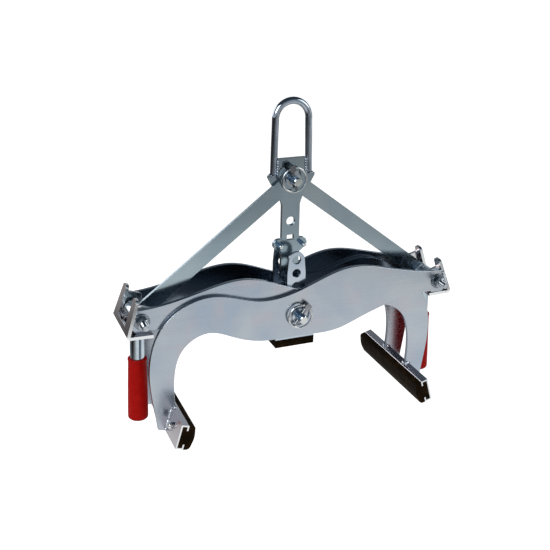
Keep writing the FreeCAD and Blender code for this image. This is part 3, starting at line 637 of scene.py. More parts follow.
def spun(name: str, rings: Sequence[Ring], foot: Vector, axis: Vector, segments: int = 72,
         closed: bool = False, crease: float = 28.0) -> bpy.types.Mesh:
    """Turn a profile round an axis, as on a lathe; a ring may vary with the angle.

    Args:
        name: Name of the mesh.
        rings: Radius and height of each ring, or a function of the angle that gives them.
        foot: Place of height 0, in millimetres from the pivot.
        axis: Unit direction of the heights.
        segments: Points on a ring.
        closed: Whether the last ring joins the first, as round a bore.
        crease: Sharpest angle that is still shaded smooth, in degrees.

    Returns:
        The mesh, in the frame's metres.
    """
    across = axis.orthogonal().normalized()
    aside = axis.cross(across)
    angles = [math.tau * i / segments for i in range(segments)]
    shell = bmesh.new()
    loops: list[list[bmesh.types.BMVert]] = []
    for ring in rings:
        sizes = [ring(angle) if callable(ring) else ring for angle in angles]
        if max(radius for radius, _ in sizes) == 0:
            loops.append([shell.verts.new(LAYOUT.world(foot + axis * sizes[0][1]))])
            continue
        loop = []
        for angle, (radius, height) in zip(angles, sizes):
            arm = across * math.cos(angle) + aside * math.sin(angle)
            loop.append(shell.verts.new(LAYOUT.world(foot + arm * radius + axis * height)))
        loops.append(loop)
    pairs = list(zip(loops, loops[1:]))
    if closed:
        pairs.append((loops[-1], loops[0]))
    for low, high in pairs:
        for i in range(segments):
            corners = [low[i % len(low)], low[(i + 1) % len(low)],
                       high[(i + 1) % len(high)], high[i % len(high)]]
            shell.faces.new(list(dict.fromkeys(corners)))
    bmesh.ops.recalc_face_normals(shell, faces=shell.faces)
    mesh = mesh_from(name, shell)
    mesh.set_sharp_from_angle(angle=math.radians(crease))
    return mesh


@dataclass(frozen=True)
class HexForm:
    """Hexagon of a bolt head or nut with turned chamfers."""

    across: float
    chamfer: float = 0.94
    chamfer_slope: float = 30.0

    def radius(self, angle: float) -> float:
        """Distance from the axis to the hexagon's side at an angle."""
        sector = math.pi / 3
        return self.across / 2 / math.cos((angle % sector) - sector / 2)

    def flat(self, height: float) -> Ring:
        """The full hexagon at a height."""
        return lambda angle: (self.radius(angle), height)

    def circle(self, height: float) -> Ring:
        """The circle inside the chamfer, on the end face."""
        return self.across / 2 * self.chamfer, height

    def rim(self, height: float, inward: float) -> Ring:
        """The hexagon where the chamfer cuts it.

        Args:
            height: Height of the end face.
            inward: Sign of the direction from the end face into the solid.

        Returns:
            A ring that dips at the corners.
        """
        circle = self.across / 2 * self.chamfer
        slope = math.tan(math.radians(self.chamfer_slope))
        return lambda angle: (self.radius(angle), height + inward * (self.radius(angle) - circle) * slope)

    def prism(self, height: float) -> list[Ring]:
        """Outer rings of a nut that is chamfered at both ends."""
        return [self.circle(0.0), self.rim(0.0, 1.0), self.rim(height, -1.0), self.circle(height)]


def thread(radius: float, pitch: float, start: float, end: float) -> list[Ring]:
    """Rings of a screw thread.

    Args:
        radius: Radius at the crests.
        pitch: Rise of one turn.
        start: Height of the first ring.
        end: Height of the last ring.

    Returns:
        Rings whose radius winds up and down round the axis.
    """
    depth = THREAD_DEPTH * pitch
    steps = max(2, round(abs(end - start) / pitch * THREAD_STEPS))

    def winding(height: float) -> Ring:
        """Ring at a height, with its crest where the helix passes."""
        def size(angle: float) -> tuple[float, float]:
            """Radius and height at an angle."""
            phase = (height / pitch - angle / math.tau) % 1.0
            return radius - depth * abs(2 * phase - 1), height
        return size
    return [winding(start + (end - start) * i / steps) for i in range(steps + 1)]


def grown(source: bpy.types.Mesh, tree: bpy.types.NodeTree, values: dict[str, object],
          name: str) -> bpy.types.Object:
    """Run a Geometry Nodes tree on a mesh.

    Args:
        source: Mesh that the tree starts from.
        tree: The tree.
        values: Value of each named input.
        name: Name of the result.

    Returns:
        The result as a plain mesh object.
    """
    carrier = piece_from(f"{name}_path", source)
    modifier = carrier.modifiers.new("grow", "NODES")
    modifier.node_group = tree
    for socket in tree.interface.items_tree:
        if socket.in_out == "INPUT" and socket.name in values:
            modifier[socket.identifier] = values[socket.name]
    return plain_mesh(carrier, name)


def new_tree(name: str, inputs: dict[str, str]) -> bpy.types.NodeTree:
    """Make an empty Geometry Nodes tree.

    Args:
        name: The tree's name.
        inputs: Kind of each named input after the geometry.

    Returns:
        The tree with its sockets; the last input is its material.
    """
    tree = bpy.data.node_groups.new(name, "GeometryNodeTree")
    kinds = {"Geometry": "Geometry", **inputs, "Material": "Material"}
    for label, kind in kinds.items():
        tree.interface.new_socket(label, in_out="INPUT", socket_type=f"NodeSocket{kind}")
    tree.interface.new_socket("Geometry", in_out="OUTPUT", socket_type="NodeSocketGeometry")
    return tree


def close_tree(tree: bpy.types.NodeTree, shape: bpy.types.Node, material: bpy.types.NodeSocket) -> None:
    """End a tree: real geometry in its material.

    Args:
        tree: The tree.
        shape: Node of the geometry.
        material: Socket of the material.
    """
    real = add(tree, "GeometryNodeRealizeInstances", {0: shape})
    dressed = add(tree, "GeometryNodeSetMaterial", {0: real, "Material": material})
    add(tree, "NodeGroupOutput", {0: dressed})


@cache
def bead_tree() -> bpy.types.NodeTree:
    """Build the tree that lays a rippled weld bead along each path of a mesh of edges.

    Returns:
        The tree, made once.
    """
    tree = new_tree("weld bead along paths", {
        "Bead Radius": "Float", "Ripple Pitch": "Float", "Ripple Depth": "Float", "Seed": "Int"})
    given = add(tree, "NodeGroupInput").outputs
    path = add(tree, "GeometryNodeMeshToCurve", {0: given["Geometry"]})
    step = add(tree, "ShaderNodeMath", {0: given["Ripple Pitch"], 1: RIPPLE_STEPS}, operation="DIVIDE")
    even = add(tree, "GeometryNodeResampleCurve", {"Curve": path, "Length": step}, mode="LENGTH")
    spot = add(tree, "GeometryNodeSplineParameter").outputs["Length"]
    turn = add(tree, "ShaderNodeMath", {0: spot, 1: given["Ripple Pitch"]}, operation="DIVIDE")
    wave = add(tree, "ShaderNodeMath", {0: turn, 1: 1.0}, operation="PINGPONG")
    swell = add(tree, "ShaderNodeMath", {0: wave, 1: given["Ripple Depth"], 2: BEAD_LEAST},
                operation="MULTIPLY_ADD")
    stray = add(tree, "FunctionNodeRandomValue", {
        2: BEAD_STRAY[0], 3: BEAD_STRAY[1], "Seed": given["Seed"]}, data_type="FLOAT").outputs[1]
    hand = add(tree, "ShaderNodeMath", {0: swell, 1: stray}, operation="MULTIPLY")
    radius = add(tree, "ShaderNodeMath", {0: hand, 1: given["Bead Radius"]}, operation="MULTIPLY")
    ring = add(tree, "GeometryNodeCurvePrimitiveCircle", {"Resolution": 10, "Radius": 1.0})
    bead = add(tree, "GeometryNodeCurveToMesh", {
        "Curve": even, "Profile Curve": ring, "Scale": radius, "Fill Caps": True})
    smooth = add(tree, "GeometryNodeSetShadeSmooth", {0: bead})
    close_tree(tree, smooth, given["Material"])
    return tree


@cache
def row_tree() -> bpy.types.NodeTree:
    """Build the tree that sets a fastener on each point, turned to a direction and by chance about it.

    Returns:
        The tree, made once.
    """
    tree = new_tree("fasteners on points", {"Fastener": "Object", "Direction": "Vector", "Seed": "Int"})
    given = add(tree, "NodeGroupInput").outputs
    shape = add(tree, "GeometryNodeObjectInfo", {"Object": given["Fastener"], "As Instance": True})
    aim = add(tree, "FunctionNodeAlignRotationToVector", {"Vector": given["Direction"]}, axis="Z")
    chance = add(tree, "FunctionNodeRandomValue", {
        2: 0.0, 3: math.tau, "Seed": given["Seed"]}, data_type="FLOAT").outputs[1]
    spin = add(tree, "FunctionNodeAxisAngleToRotation", {"Axis": UP, "Angle": chance})
    turn = add(tree, "FunctionNodeRotateRotation", {0: aim, 1: spin}, rotation_space="LOCAL")
    placed = add(tree, "GeometryNodeInstanceOnPoints", {
        "Points": given["Geometry"], "Instance": shape.outputs["Geometry"], "Rotation": turn})
    close_tree(tree, placed, given["Material"])
    return tree


def edge_mesh(name: str, paths: Iterable[Sequence[Vector]]) -> bpy.types.Mesh:
    """Mesh of open polylines.

    Args:
        name: Name of the mesh.
        paths: Points of each polyline, in millimetres from the pivot.

    Returns:
        The mesh, in metres.
    """
    points: list[Vector] = []
    edges: list[tuple[int, int]] = []
    for path in paths:
        first = len(points)
        points += [LAYOUT.world(p) for p in path]
        edges += [(i, i + 1) for i in range(first, len(points) - 1)]
    mesh = bpy.data.meshes.new(name)
    mesh.from_pydata(points, edges, [])
    return mesh


def arc(centre: Vector, radius: float, axis: Vector, start: float = 0.0, end: float = 360.0,
        steps: int = 24) -> list[Vector]:
    """Points of an arc, or of a full circle.

    Args:
        centre: Its centre.
        radius: Its radius.
        axis: Unit direction it turns about.
        start: First angle, in degrees.
        end: Last angle.
        steps: Number of chords.

    Returns:
        The points, in millimetres.
    """
    across = Vector((1.0, 0.0, 0.0))
    across = (across - axis * across.dot(axis)).normalized()
    aside = axis.cross(across)
    angles = [math.radians(start + (end - start) * i / steps) for i in range(steps + 1)]
    return [centre + (across * math.cos(a) + aside * math.sin(a)) * radius for a in angles]


def weld(name: str, body: str, paths: Iterable[Sequence[Vector]], radius: float, seed: int,
         finish: Finish = WELD_METAL) -> None:
    """Lay weld beads along paths and let them ride on a body.

    Args:
        name: Name of the piece.
        body: Body that it rides on.
        paths: Points of each bead, in millimetres from the pivot.
        radius: Radius of the bead.
        seed: Seed of its unevenness.
        finish: Its finish.
    """
    piece = grown(edge_mesh(name, paths), bead_tree(), {
        "Bead Radius": radius * MM, "Ripple Pitch": RIPPLE_PITCH * radius * MM,
        "Ripple Depth": RIPPLE_DEPTH, "Seed": seed, "Material": finish.material()}, name)
    fit(piece, body, finish)


def fastener_row(name: str, body: str, finish: Finish, shape: bpy.types.Mesh, points: Sequence[Vector],
                 direction: Vector, seed: int, *nodes: str) -> None:
    """Set the same fastener on several points.

    Args:
        name: Name of the piece.
        body: Body that it rides on.
        finish: Its finish.
        shape: The fastener, its axis along Z and its seat at the frame's origin.
        points: Seats, in millimetres from the pivot.
        direction: Direction of the fastener's axis.
        seed: Seed of the fasteners' turn.
        nodes: CAD nodes that the row replaces.
    """
    master = piece_from(f"{name}_master", shape)
    piece = grown(edge_mesh(name, [[p] for p in points]), row_tree(), {
        "Fastener": master, "Direction": direction, "Seed": seed, "Material": finish.material()}, name)
    bpy.data.objects.remove(master)
    fit(piece, body, finish, *nodes)


@dataclass
class Arm:
    """One arm: two cut plates, the jaw rail on their legs, the bracket at their far end."""

    side: Side
    edge_break: float = 1.5
    rail_break: float = 0.8
    bead: float = 3.2
    bead_inset: float = 1.0
    leg_lap: float = 8.3
    upright_run: tuple[float, float] = (20.0, 52.0)
    tube_dia: float = 27.0
    seed: int = 11

    def build(self) -> None:
        """Build and dress the arm's own steel."""
        jaw, end = self.side.word, self.side.other.word
        body = f"{jaw}_arm"
        dress(body, ARM_ZINC, self.edge_break, f"{jaw}_arm_front_plate", f"{jaw}_arm_rear_plate")
        dress(body, RAIL_ZINC, self.rail_break, f"{jaw}_jaw_rail")
        dress(body, BRACKET_ZINC, self.rail_break, f"{end}_handle_bracket", f"{end}_bracket_cheeks")
        weld(f"{jaw}_arm_welds", body, self.weld_paths(), self.bead, self.seed + self.side.value, ARM_WELD)

    def weld_paths(self) -> list[list[Vector]]:
        """Where the legs meet the rail, and the bracket meets the plates and the tube.

        Returns:
            The beads' paths, in millimetres.
        """
        inner = LAYOUT.arm_face(self.side)
        outer = inner + LAYOUT.arm_plate
        end = self.side.other
        top = LAYOUT.rail_height
        run = (self.bead_inset, top - self.bead_inset)
        paths = []
        for y in (-outer, -inner, inner, outer):
            paths.append([LAYOUT.jaw(self.side, up, 0.0, y) for up in run])
            paths.append([LAYOUT.jaw(self.side, top, depth, y) for depth in (0.0, self.leg_lap)])
            paths.append([LAYOUT.bracket(end, LAYOUT.upright_lean, LAYOUT.bracket_plate, climb, y)
                          for climb in self.upright_run])
        for edges in ((-outer, -inner), (inner, outer)):
            paths.append([LAYOUT.jaw(self.side, top, self.leg_lap, y) for y in edges])
        paths.append(arc(LAYOUT.handle(end), self.tube_dia / 2, LAYOUT.handle_axis(end), steps=48))
        return paths


@dataclass
class JawPad:
    """Rubber pad in a jaw rail, and the cap nuts of its moulded-in screws on the rail's back."""

    side: Side
    edge_break: float = 1.2
    screw_spacing: float = 160.0
    nut_across: float = 13.0
    nut_hex: float = 4.5
    nut_rise: float = 9.0
    dome: float = 0.86
    dome_step: int = 5
    seed: int = 3

    def build(self) -> None:
        """Build and dress the pad and its nuts."""
        word = self.side.word
        body = f"{word}_arm"
        dress(body, PAD_RUBBER, self.edge_break, f"{word}_jaw_pad")
        middle = LAYOUT.rail_height / 2
        seats = [LAYOUT.jaw(self.side, middle, 0.0, s * self.screw_spacing / 2) for s in (-1, 1)]
        fastener_row(f"{word}_jaw_cap_nuts", body, CAP_ZINC, self.cap_nut(), seats,
                     -LAYOUT.jaw_inward(self.side), self.seed, f"{word}_jaw_nuts")

    def cap_nut(self) -> bpy.types.Mesh:
        """Hexagon cap nut with a turned dome.

        Returns:
            The nut's mesh, at the frame's origin.
        """
        radius = self.nut_across / 2 * self.dome
        rise = self.nut_rise - self.nut_hex
        slopes = [math.radians(d) for d in range(0, 90, self.dome_step)]
        cap: list[Ring] = [(radius * math.cos(a), self.nut_hex + rise * math.sin(a)) for a in slopes]
        rings = [(0.0, 0.0), *HexForm(self.nut_across).prism(self.nut_hex), *cap, (0.0, self.nut_rise)]
        return spun("cap_nut", rings, LAYOUT.origin(), UP)


@dataclass
class Handle:
    """Vinyl grip on the tube under a bracket's foot."""

    side: Side
    bare: float = 63.5
    length: float = 126.0
    bore: float = 13.6
    rim_dia: float = 36.0
    rim: float = 5.0
    lip: float = 1.2
    step_falls: tuple[float, float, float, float] = (-1.5, -0.4, 1.0, 2.5)
    step_rounds: tuple[float, float] = (0.5, 0.2)
    neck_dia: float = 34.5
    body_dia: float = 38.5
    belly: float = 0.12
    steps: int = 24
    round_end: float = 5.0
    floor: float = 5.0

    def build(self) -> None:
        """Build and dress the grip."""
        word = self.side.word
        name = f"{word}_grip_sleeve"
        mesh = spun(name, self.profile(), LAYOUT.handle(self.side, -self.bare),
                    -LAYOUT.handle_axis(self.side), segments=96, crease=50.0)
        fit(piece_from(name, mesh), f"{self.side.other.word}_arm", GRIP_VINYL, f"{word}_handle_grip")

    def profile(self) -> list[Ring]:
        """Half section of the grip, heights counted downwards from the rim's top.

        Between rim and neck is a rounded step, whose heights are counted from the rim's foot.

        Returns:
            The rings from the bore's floor over the rim and down to the round end.
        """
        rim, neck, body = self.rim_dia / 2, self.neck_dia / 2, self.body_dia / 2
        rolled = [math.radians(d) for d in range(0, 91, 30)]
        rings: list[Ring] = [(0.0, self.length - self.floor), (self.bore, self.length - self.floor),
                             (self.bore, self.lip)]
        rings += [(self.bore + self.lip * (1 - math.cos(a)), self.lip * (1 - math.sin(a))) for a in rolled]
        rings += [(rim - self.lip + self.lip * math.sin(a), self.lip * (1 - math.cos(a))) for a in rolled]
        step = (rim, rim - self.step_rounds[0], neck + self.step_rounds[1], neck)
        rings += [(radius, self.rim + fall) for radius, fall in zip(step, self.step_falls)]
        top = self.rim + self.step_falls[-1]
        straight = self.length - self.round_end - top
        for share in (i / self.steps for i in range(1, self.steps + 1)):
            swell = share + self.belly * math.sin(math.pi * share)
            rings.append((neck + (body - neck) * swell, top + straight * share))
        rounded = [math.radians(d) for d in range(15, 91, 15)]
        rings += [(body - self.round_end * (1 - math.cos(a)),
                   self.length - self.round_end * (1 - math.sin(a))) for a in rounded]
        return [*rings, (0.0, self.length)]


@dataclass
class EndBolt:
    """Shoulder bolt, nut and washers across one arm end."""

    side: Side
    shank_dia: float = 16.0
    across: float = 24.0
    head: float = 10.0
    shoulder_back: float = 0.5
    shoulder_chamfer: float = 0.8
    thread_dia: float = 12.0
    pitch: float = 1.75
    thread_end: float = 17.0
    tip_chamfer: float = 1.5
    tip_depth: float = 0.6
    nut_across: float = 19.0
    nut: float = 11.0
    nut_sink: float = 1.0
    nut_bite: float = 0.4
    sink_depth: float = 1.2
    washer: float = 3.0
    washer_break: float = 0.5

    def build(self) -> None:
        """Build and dress bolt, nut and washers."""
        word = self.side.word
        body = f"{self.side.other.word}_arm"
        seat = LAYOUT.arm_face(self.side.other) + LAYOUT.arm_plate + self.washer
        name = f"{word}_end_hex_bolt"
        bolt = spun(name, self.bolt_rings(seat), LAYOUT.end(self.side, seat + self.head), FRONT)
        fit(piece_from(name, bolt), body, FASTENER_ZINC, f"{word}_end_bolt")
        name = f"{word}_end_hex_nut"
        nut = spun(name, self.nut_rings(), LAYOUT.end(self.side, -seat), FRONT, closed=True)
        fit(piece_from(name, nut), body, FASTENER_ZINC, f"{word}_end_nut")
        # painted shade: the washers' darker colour stands in for the shadow round the nut and the head
        dress(body, SHADED_WASHER_ZINC, self.washer_break, f"{word}_end_washers")

    def nut_rings(self) -> list[Ring]:
        """Rings of the nut, with its bore countersunk at both ends.

        Returns:
            The rings, heights counted from the nut's seat.
        """
        sink = self.thread_dia / 2 + self.nut_sink
        bore = self.thread_dia / 2 - self.nut_bite
        return [(sink, 0.0), *HexForm(self.nut_across).prism(self.nut), (sink, self.nut),
                (bore, self.nut - self.sink_depth), (bore, self.sink_depth)]

    def bolt_rings(self, seat: float) -> list[Ring]:
        """Rings from the head's top, at the rear, to the thread's tip, at the front.

        Args:
            seat: Distance from the middle plane to the head's and the nut's seats.

        Returns:
            The rings, heights counted from the head's top.
        """
        form = HexForm(self.across)
        shank, crest = self.shank_dia / 2, self.thread_dia / 2
        front = self.head + 2 * seat
        tip = front + self.nut + self.thread_end
        shoulder = front - self.washer - self.shoulder_back
        return [(0.0, 0.0), form.circle(0.0), form.rim(0.0, 1.0), form.flat(self.head), (shank, self.head),
                (shank, shoulder - self.shoulder_chamfer), (shank - self.shoulder_chamfer, shoulder),
                *thread(crest, self.pitch, shoulder, tip - self.tip_chamfer),
                (crest - self.tip_depth * self.pitch, tip), (0.0, tip)]


@dataclass
class Tie:
    """Flat tie bar with the bush welded to its lower end."""

    side: Side
    edge_break: float = 0.7
    bush_dia: float = 34.0
    bush_sag: float = 3.8
    faces: tuple[float, float] = (4.3, 10.3)
    bead: float = 2.2
    bead_spread: float = 58.0
    seed: int = 31

    def build(self) -> None:
        """Build and dress bar, bush and their welds."""
        word = self.side.word
        body = f"{word}_tie"
        dress(body, SATIN_ZINC, self.edge_break, f"{word}_tie_bar")
        dress(body, BUSH_ZINC, self.edge_break, f"{word}_tie_bush")
        foot = LAYOUT.end(self.side) - UP * self.bush_sag
        slope = math.degrees(math.atan2(LAYOUT.top_pin_rise - foot.z, -foot.x))
        paths = [arc(foot + Vector((0.0, self.side.value * y, 0.0)), self.bush_dia / 2, FRONT,
                     slope - self.bead_spread, slope + self.bead_spread) for y in self.faces]
        weld(f"{word}_tie_welds", body, paths, self.bead, self.seed + self.side.value)


@dataclass
class Hanger:
    """Hanger plate with its pegs, and the suspension eye welded to its shoulders."""

    edge_break: float = 0.8
    peg_break: float = 0.4
    foot_rise: float = 261.0
    eye_spread: float = 69.6
    eye_bar: float = 13.0
    eye_lean: float = 1.4
    head_top: float = 292.0
    plate: float = 8.0
    bead: float = 2.8
    bead_inset: float = 2.0
    seed: int = 41

    def build(self) -> None:
        """Build and dress plate, pegs and welds."""
        dress("hanger", SATIN_ZINC, self.edge_break, "hanger_plate")
        dress("hanger", PIN_ZINC, self.peg_break, "hanger_pegs")
        weld("hanger_eye_welds", "hanger", self.weld_paths(), self.bead, self.seed)

    def weld_paths(self) -> list[list[Vector]]:
        """Beads round the eye's feet and up its legs along the head.

        Returns:
            The paths, in millimetres.
        """
        middle = self.eye_spread / 2
        inner = middle - self.eye_bar / 2
        top = inner - (self.head_top - self.foot_rise) * math.tan(math.radians(self.eye_lean))
        paths = []
        for side in Side:
            foot = Vector((side.value * middle, 0.0, self.foot_rise))
            paths.append(arc(foot, self.eye_bar / 2, UP, steps=36))
            for y in (-self.plate / 2, self.plate / 2):
                paths.append([Vector((side.value * inner, y, self.foot_rise)),
                              Vector((side.value * top, y, self.head_top - self.bead_inset))])
        return paths


@dataclass
class PinSet:
    """Headed pin with washers, linch pin and sprung ring."""

    place: PinPlace
    body: str
    rise: float
    ring_y: float
    linch_turn: float
    pin_break: float = 0.6
    washer_break: float = 0.5
    linch_break: float = 0.9
    ring_dia: float = 46.0
    ring_steps: int = 64
    wire_dia: float = 4.0
    wire_crease: float = 40.0
    end_gap: float = 4.0
    end_cross: float = 1.2
    end_open: float = 0.4
    end_bend: int = 5

    def build(self) -> None:
        """Build and dress the set."""
        word = self.place.value
        dress(self.body, PIN_ZINC, self.pin_break, f"{word}_pin")
        dress(self.body, FASTENER_ZINC, self.washer_break, f"{word}_washers")
        dress(self.body, LINCH_ZINC, self.linch_break, f"{word}_linch_pin")
        name = f"{word}_sprung_ring"
        fit(piece_from(name, self.ring(name)), f"{word}_ring", SPRING_WIRE, f"{word}_linch_ring")

    def ring(self, name: str) -> bpy.types.Mesh:
        """Wire ring whose two ends pass each other in the linch pin's head.

        Args:
            name: Name of the mesh.

        Returns:
            The wire's mesh.
        """
        centre = Vector((0.0, self.ring_y, self.rise))
        spread = math.degrees(self.end_gap / (self.ring_dia / 2))
        line = bpy.data.curves.new(name, "CURVE")
        line.dimensions = "3D"
        line.bevel_depth = self.wire_dia / 2 * MM
        line.bevel_resolution = 4
        line.use_fill_caps = True
        spline = line.splines.new("POLY")
        spline.points.add(self.ring_steps)
        for i, knot in enumerate(spline.points):
            share = i / self.ring_steps
            way = 2 * share - 1
            drift = self.end_cross * way * abs(way) ** self.end_bend
            radial = turned(self.linch_turn - spread + (360 + 2 * spread) * share)
            point = centre + radial * (self.ring_dia / 2 + drift * self.end_open) - FRONT * drift
            knot.co = (*LAYOUT.world(point), 1.0)
        carrier = bpy.data.objects.new(name, line)
        mesh = bpy.data.meshes.new_from_object(carrier)
        bpy.data.objects.remove(carrier)
        bpy.data.curves.remove(line)
        mesh.name = name
        mesh.shade_smooth()
        mesh.set_sharp_from_angle(angle=math.radians(self.wire_crease))
        return mesh


@dataclass
class DepthStop:
    """Two uprights with setting holes, carrier plate and rubber pad."""

    edge_break: float = 0.7
    pad_break: float = 1.5
    foot_rise: float = -50.0
    inner_face: float = 32.0
    width: float = 37.0
    screw_spacing: float = 50.0
    nut_across: float = 13.0
    nut_bore: float = 4.2
    nut: float = 6.5
    nut_seed: int = 7
    bead: float = 2.2
    bead_inset: float = 2.0
    bead_seed: int = 51

    def build(self) -> None:
        """Build and dress the stop."""
        plates = (f"depth_stop_{part}" for part in ("front_plate", "rear_plate", "carrier"))
        dress("centre", STOP_ZINC, self.edge_break, *plates)
        dress("centre", PAD_RUBBER, self.pad_break, "depth_stop_pad")
        half = self.width / 2 - self.bead_inset
        paths = [[Vector((x, s * self.inner_face, self.foot_rise)) for x in (-half, half)] for s in (-1, 1)]
        weld("depth_stop_welds", "centre", paths, self.bead, self.bead_seed)
        seats = [Vector((s * self.screw_spacing / 2, 0.0, self.foot_rise)) for s in (-1, 1)]
        rings = [(self.nut_bore, 0.0), *HexForm(self.nut_across).prism(self.nut), (self.nut_bore, self.nut)]
        nut = spun("stop_hex_nut", rings, LAYOUT.origin(), UP, closed=True)
        fastener_row("depth_stop_hex_nuts", "centre", FASTENER_ZINC, nut, seats, UP, self.nut_seed,
                     "depth_stop_nuts")


@dataclass(frozen=True)
class Softbox:
    """Square lamp: its name, its place and side in metres, and its power in watts."""

    name: str
    place: tuple[float, float, float]
    size: float
    watts: float


@dataclass
class Studio:
    """Pale floor, white surround, soft lamps and the camera at the photograph's angle.

    The tongs hang by their eye: the floor lies lower than the jaws reach when they close.
    Metal mirrors painted light: a bright pool glowing on the floor before the tongs, painted patches of
    light beyond it that are brighter to the right with a painted dark corner on the left, and a glowing
    dome, seen only in gloss, that darkens upwards.
    """

    floor_size: float = 30.0
    floor_low: float = -0.1
    floor_glow: float = 0.72
    camera_place: tuple[float, float, float] = (-0.6239, -1.4727, 0.90434)
    camera_target: tuple[float, float, float] = (-0.02828, 0.0, 0.26639)
    camera_roll: float = 0.96
    lens: float = 58.81
    sensor: float = 36.0
    surround_light: float = 0.45
    pool_centre: tuple[float, float] = (0.15, -0.45)
    pool_edge: tuple[float, float] = (0.5, 1.15)
    pool_light: float = 0.95
    hall_light: tuple[float, float] = (0.03, 0.6)
    hall_patch: float = 0.6
    hall_reach: float = 2.5
    hall_sides: tuple[float, float] = (0.15, 1.8)
    corner_centre: tuple[float, float] = (-1.3, -0.3)
    corner_edge: tuple[float, float] = (0.5, 1.1)
    corner_light: float = 0.05
    ceiling_radius: float = 6.0
    ceiling_from: float = 5.0
    ceiling_dark: float = 4.5
    ceiling_steps: int = 6
    softboxes: tuple[Softbox, ...] = (
        Softbox("key_softbox", (-1.75, -1.35, 1.75), 1.4, 34.0),
        Softbox("fill_softbox", (1.8, -1.2, 1.4), 1.2, 14.0),
        Softbox("rear_softbox", (-1.15, 1.8, 1.0), 1.2, 10.0))

    def build(self) -> None:
        """Set up floor, surround, lamps, camera and the view transform."""
        self.floor()
        self.surround()
        self.ceiling()
        for softbox in self.softboxes:
            self.lamp(softbox)
        self.camera()
        bpy.context.scene.view_settings.view_transform = "Standard"

    def floor(self) -> None:
        """Pale painted floor that is seen as white and keeps a soft shadow."""
        half = self.floor_size / 2
        mesh = bpy.data.meshes.new("studio_floor")
        corners = ((-half, -half), (half, -half), (half, half), (-half, half))
        mesh.from_pydata([(x, y, self.floor_low) for x, y in corners], [], [(0, 1, 2, 3)])
        paint = bare_material("pale floor paint")
        tree = paint.node_tree
        matt = add(tree, "ShaderNodeBsdfDiffuse", {"Color": linear("#D8D8D8")})
        glow = add(tree, "ShaderNodeEmission", {"Color": linear(WHITE), "Strength": self.floor_glow})
        bright = add(tree, "ShaderNodeAddShader", {0: matt, 1: glow})
        # painted light: for glossy and transmission rays the floor glows with the pool, the patches and the
        # dark corner
        pool = add(tree, "ShaderNodeEmission", {"Color": linear(WHITE), "Strength": self.pool(tree)})
        path = add(tree, "ShaderNodeLightPath").outputs
        plain = add(tree, "ShaderNodeMixShader", {0: path["Is Camera Ray"], 1: matt, 2: bright})
        mirrored = add(tree, "ShaderNodeMath", {
            0: path["Is Glossy Ray"], 1: path["Is Transmission Ray"]}, operation="MAXIMUM")
        seen = add(tree, "ShaderNodeMixShader", {0: mirrored, 1: plain, 2: pool})
        add(tree, "ShaderNodeOutputMaterial", {"Surface": seen})
        mesh.materials.append(paint)
        piece_from("studio_floor", mesh)

    def pool(self, tree: bpy.types.NodeTree) -> bpy.types.Node:
        """Painted light on the floor, a glow seen only in the metal's gloss: pool, patches and dark corner.

        Args:
            tree: Tree that gets the nodes.

        Returns:
            The node of the light's strength.
        """
        place = add(tree, "ShaderNodeTexCoord").outputs["Object"]
        away, aside = (add(tree, "ShaderNodeVectorMath", {0: place, 1: (*centre, self.floor_low)},
                           operation="DISTANCE").outputs["Value"]
                       for centre in (self.pool_centre, self.corner_centre))
        beyond = add(tree, "ShaderNodeMapRange", {
            "Value": away, "From Min": self.pool_edge[0], "From Max": self.pool_edge[1]},
            interpolation_type="SMOOTHSTEP")
        patches = add(tree, "ShaderNodeTexNoise", {
            "Vector": place, "Scale": 1 / self.hall_patch, "Detail": 1.0})
        hall = add(tree, "ShaderNodeMapRange", {
            "Value": patches, "From Min": 0.35, "From Max": 0.65,
            "To Min": self.hall_light[0], "To Max": self.hall_light[1]})
        # painted shade: the dark corner on the left
        unlit = add(tree, "ShaderNodeMapRange", {
            "Value": aside, "From Min": self.corner_edge[0], "From Max": self.corner_edge[1],
            "To Min": self.corner_light}, interpolation_type="SMOOTHSTEP")
        dim = add(tree, "ShaderNodeMath", {0: hall, 1: unlit}, operation="MULTIPLY")
        across = add(tree, "ShaderNodeSeparateXYZ", {0: place}).outputs["X"]
        window = add(tree, "ShaderNodeMapRange", {
            "Value": across, "From Min": -self.hall_reach, "From Max": self.hall_reach,
            "To Min": self.hall_sides[0], "To Max": self.hall_sides[1]})
        lit = add(tree, "ShaderNodeMath", {0: dim, 1: window}, operation="MULTIPLY")
        return add(tree, "ShaderNodeMix", {0: beyond, 2: self.pool_light, 3: lit})

    def surround(self) -> None:
        """White surround that lights the object softly."""
        world = bpy.data.worlds.new("white surround")
        bpy.context.scene.world = world
        world.use_nodes = True
        tree = world.node_tree
        tree.nodes.clear()
        soft = add(tree, "ShaderNodeBackground", {"Color": linear(WHITE), "Strength": self.surround_light})
        white = add(tree, "ShaderNodeBackground", {"Color": linear(WHITE), "Strength": 1.0})
        path = add(tree, "ShaderNodeLightPath").outputs
        direct = path["Is Camera Ray"]
        for ray in ("Is Glossy Ray", "Is Transmission Ray"):
            direct = add(tree, "ShaderNodeMath", {0: direct, 1: path[ray]}, operation="MAXIMUM")
        seen = add(tree, "ShaderNodeMixShader", {0: direct, 1: soft, 2: white})
        add(tree, "ShaderNodeOutputWorld", {"Surface": seen})

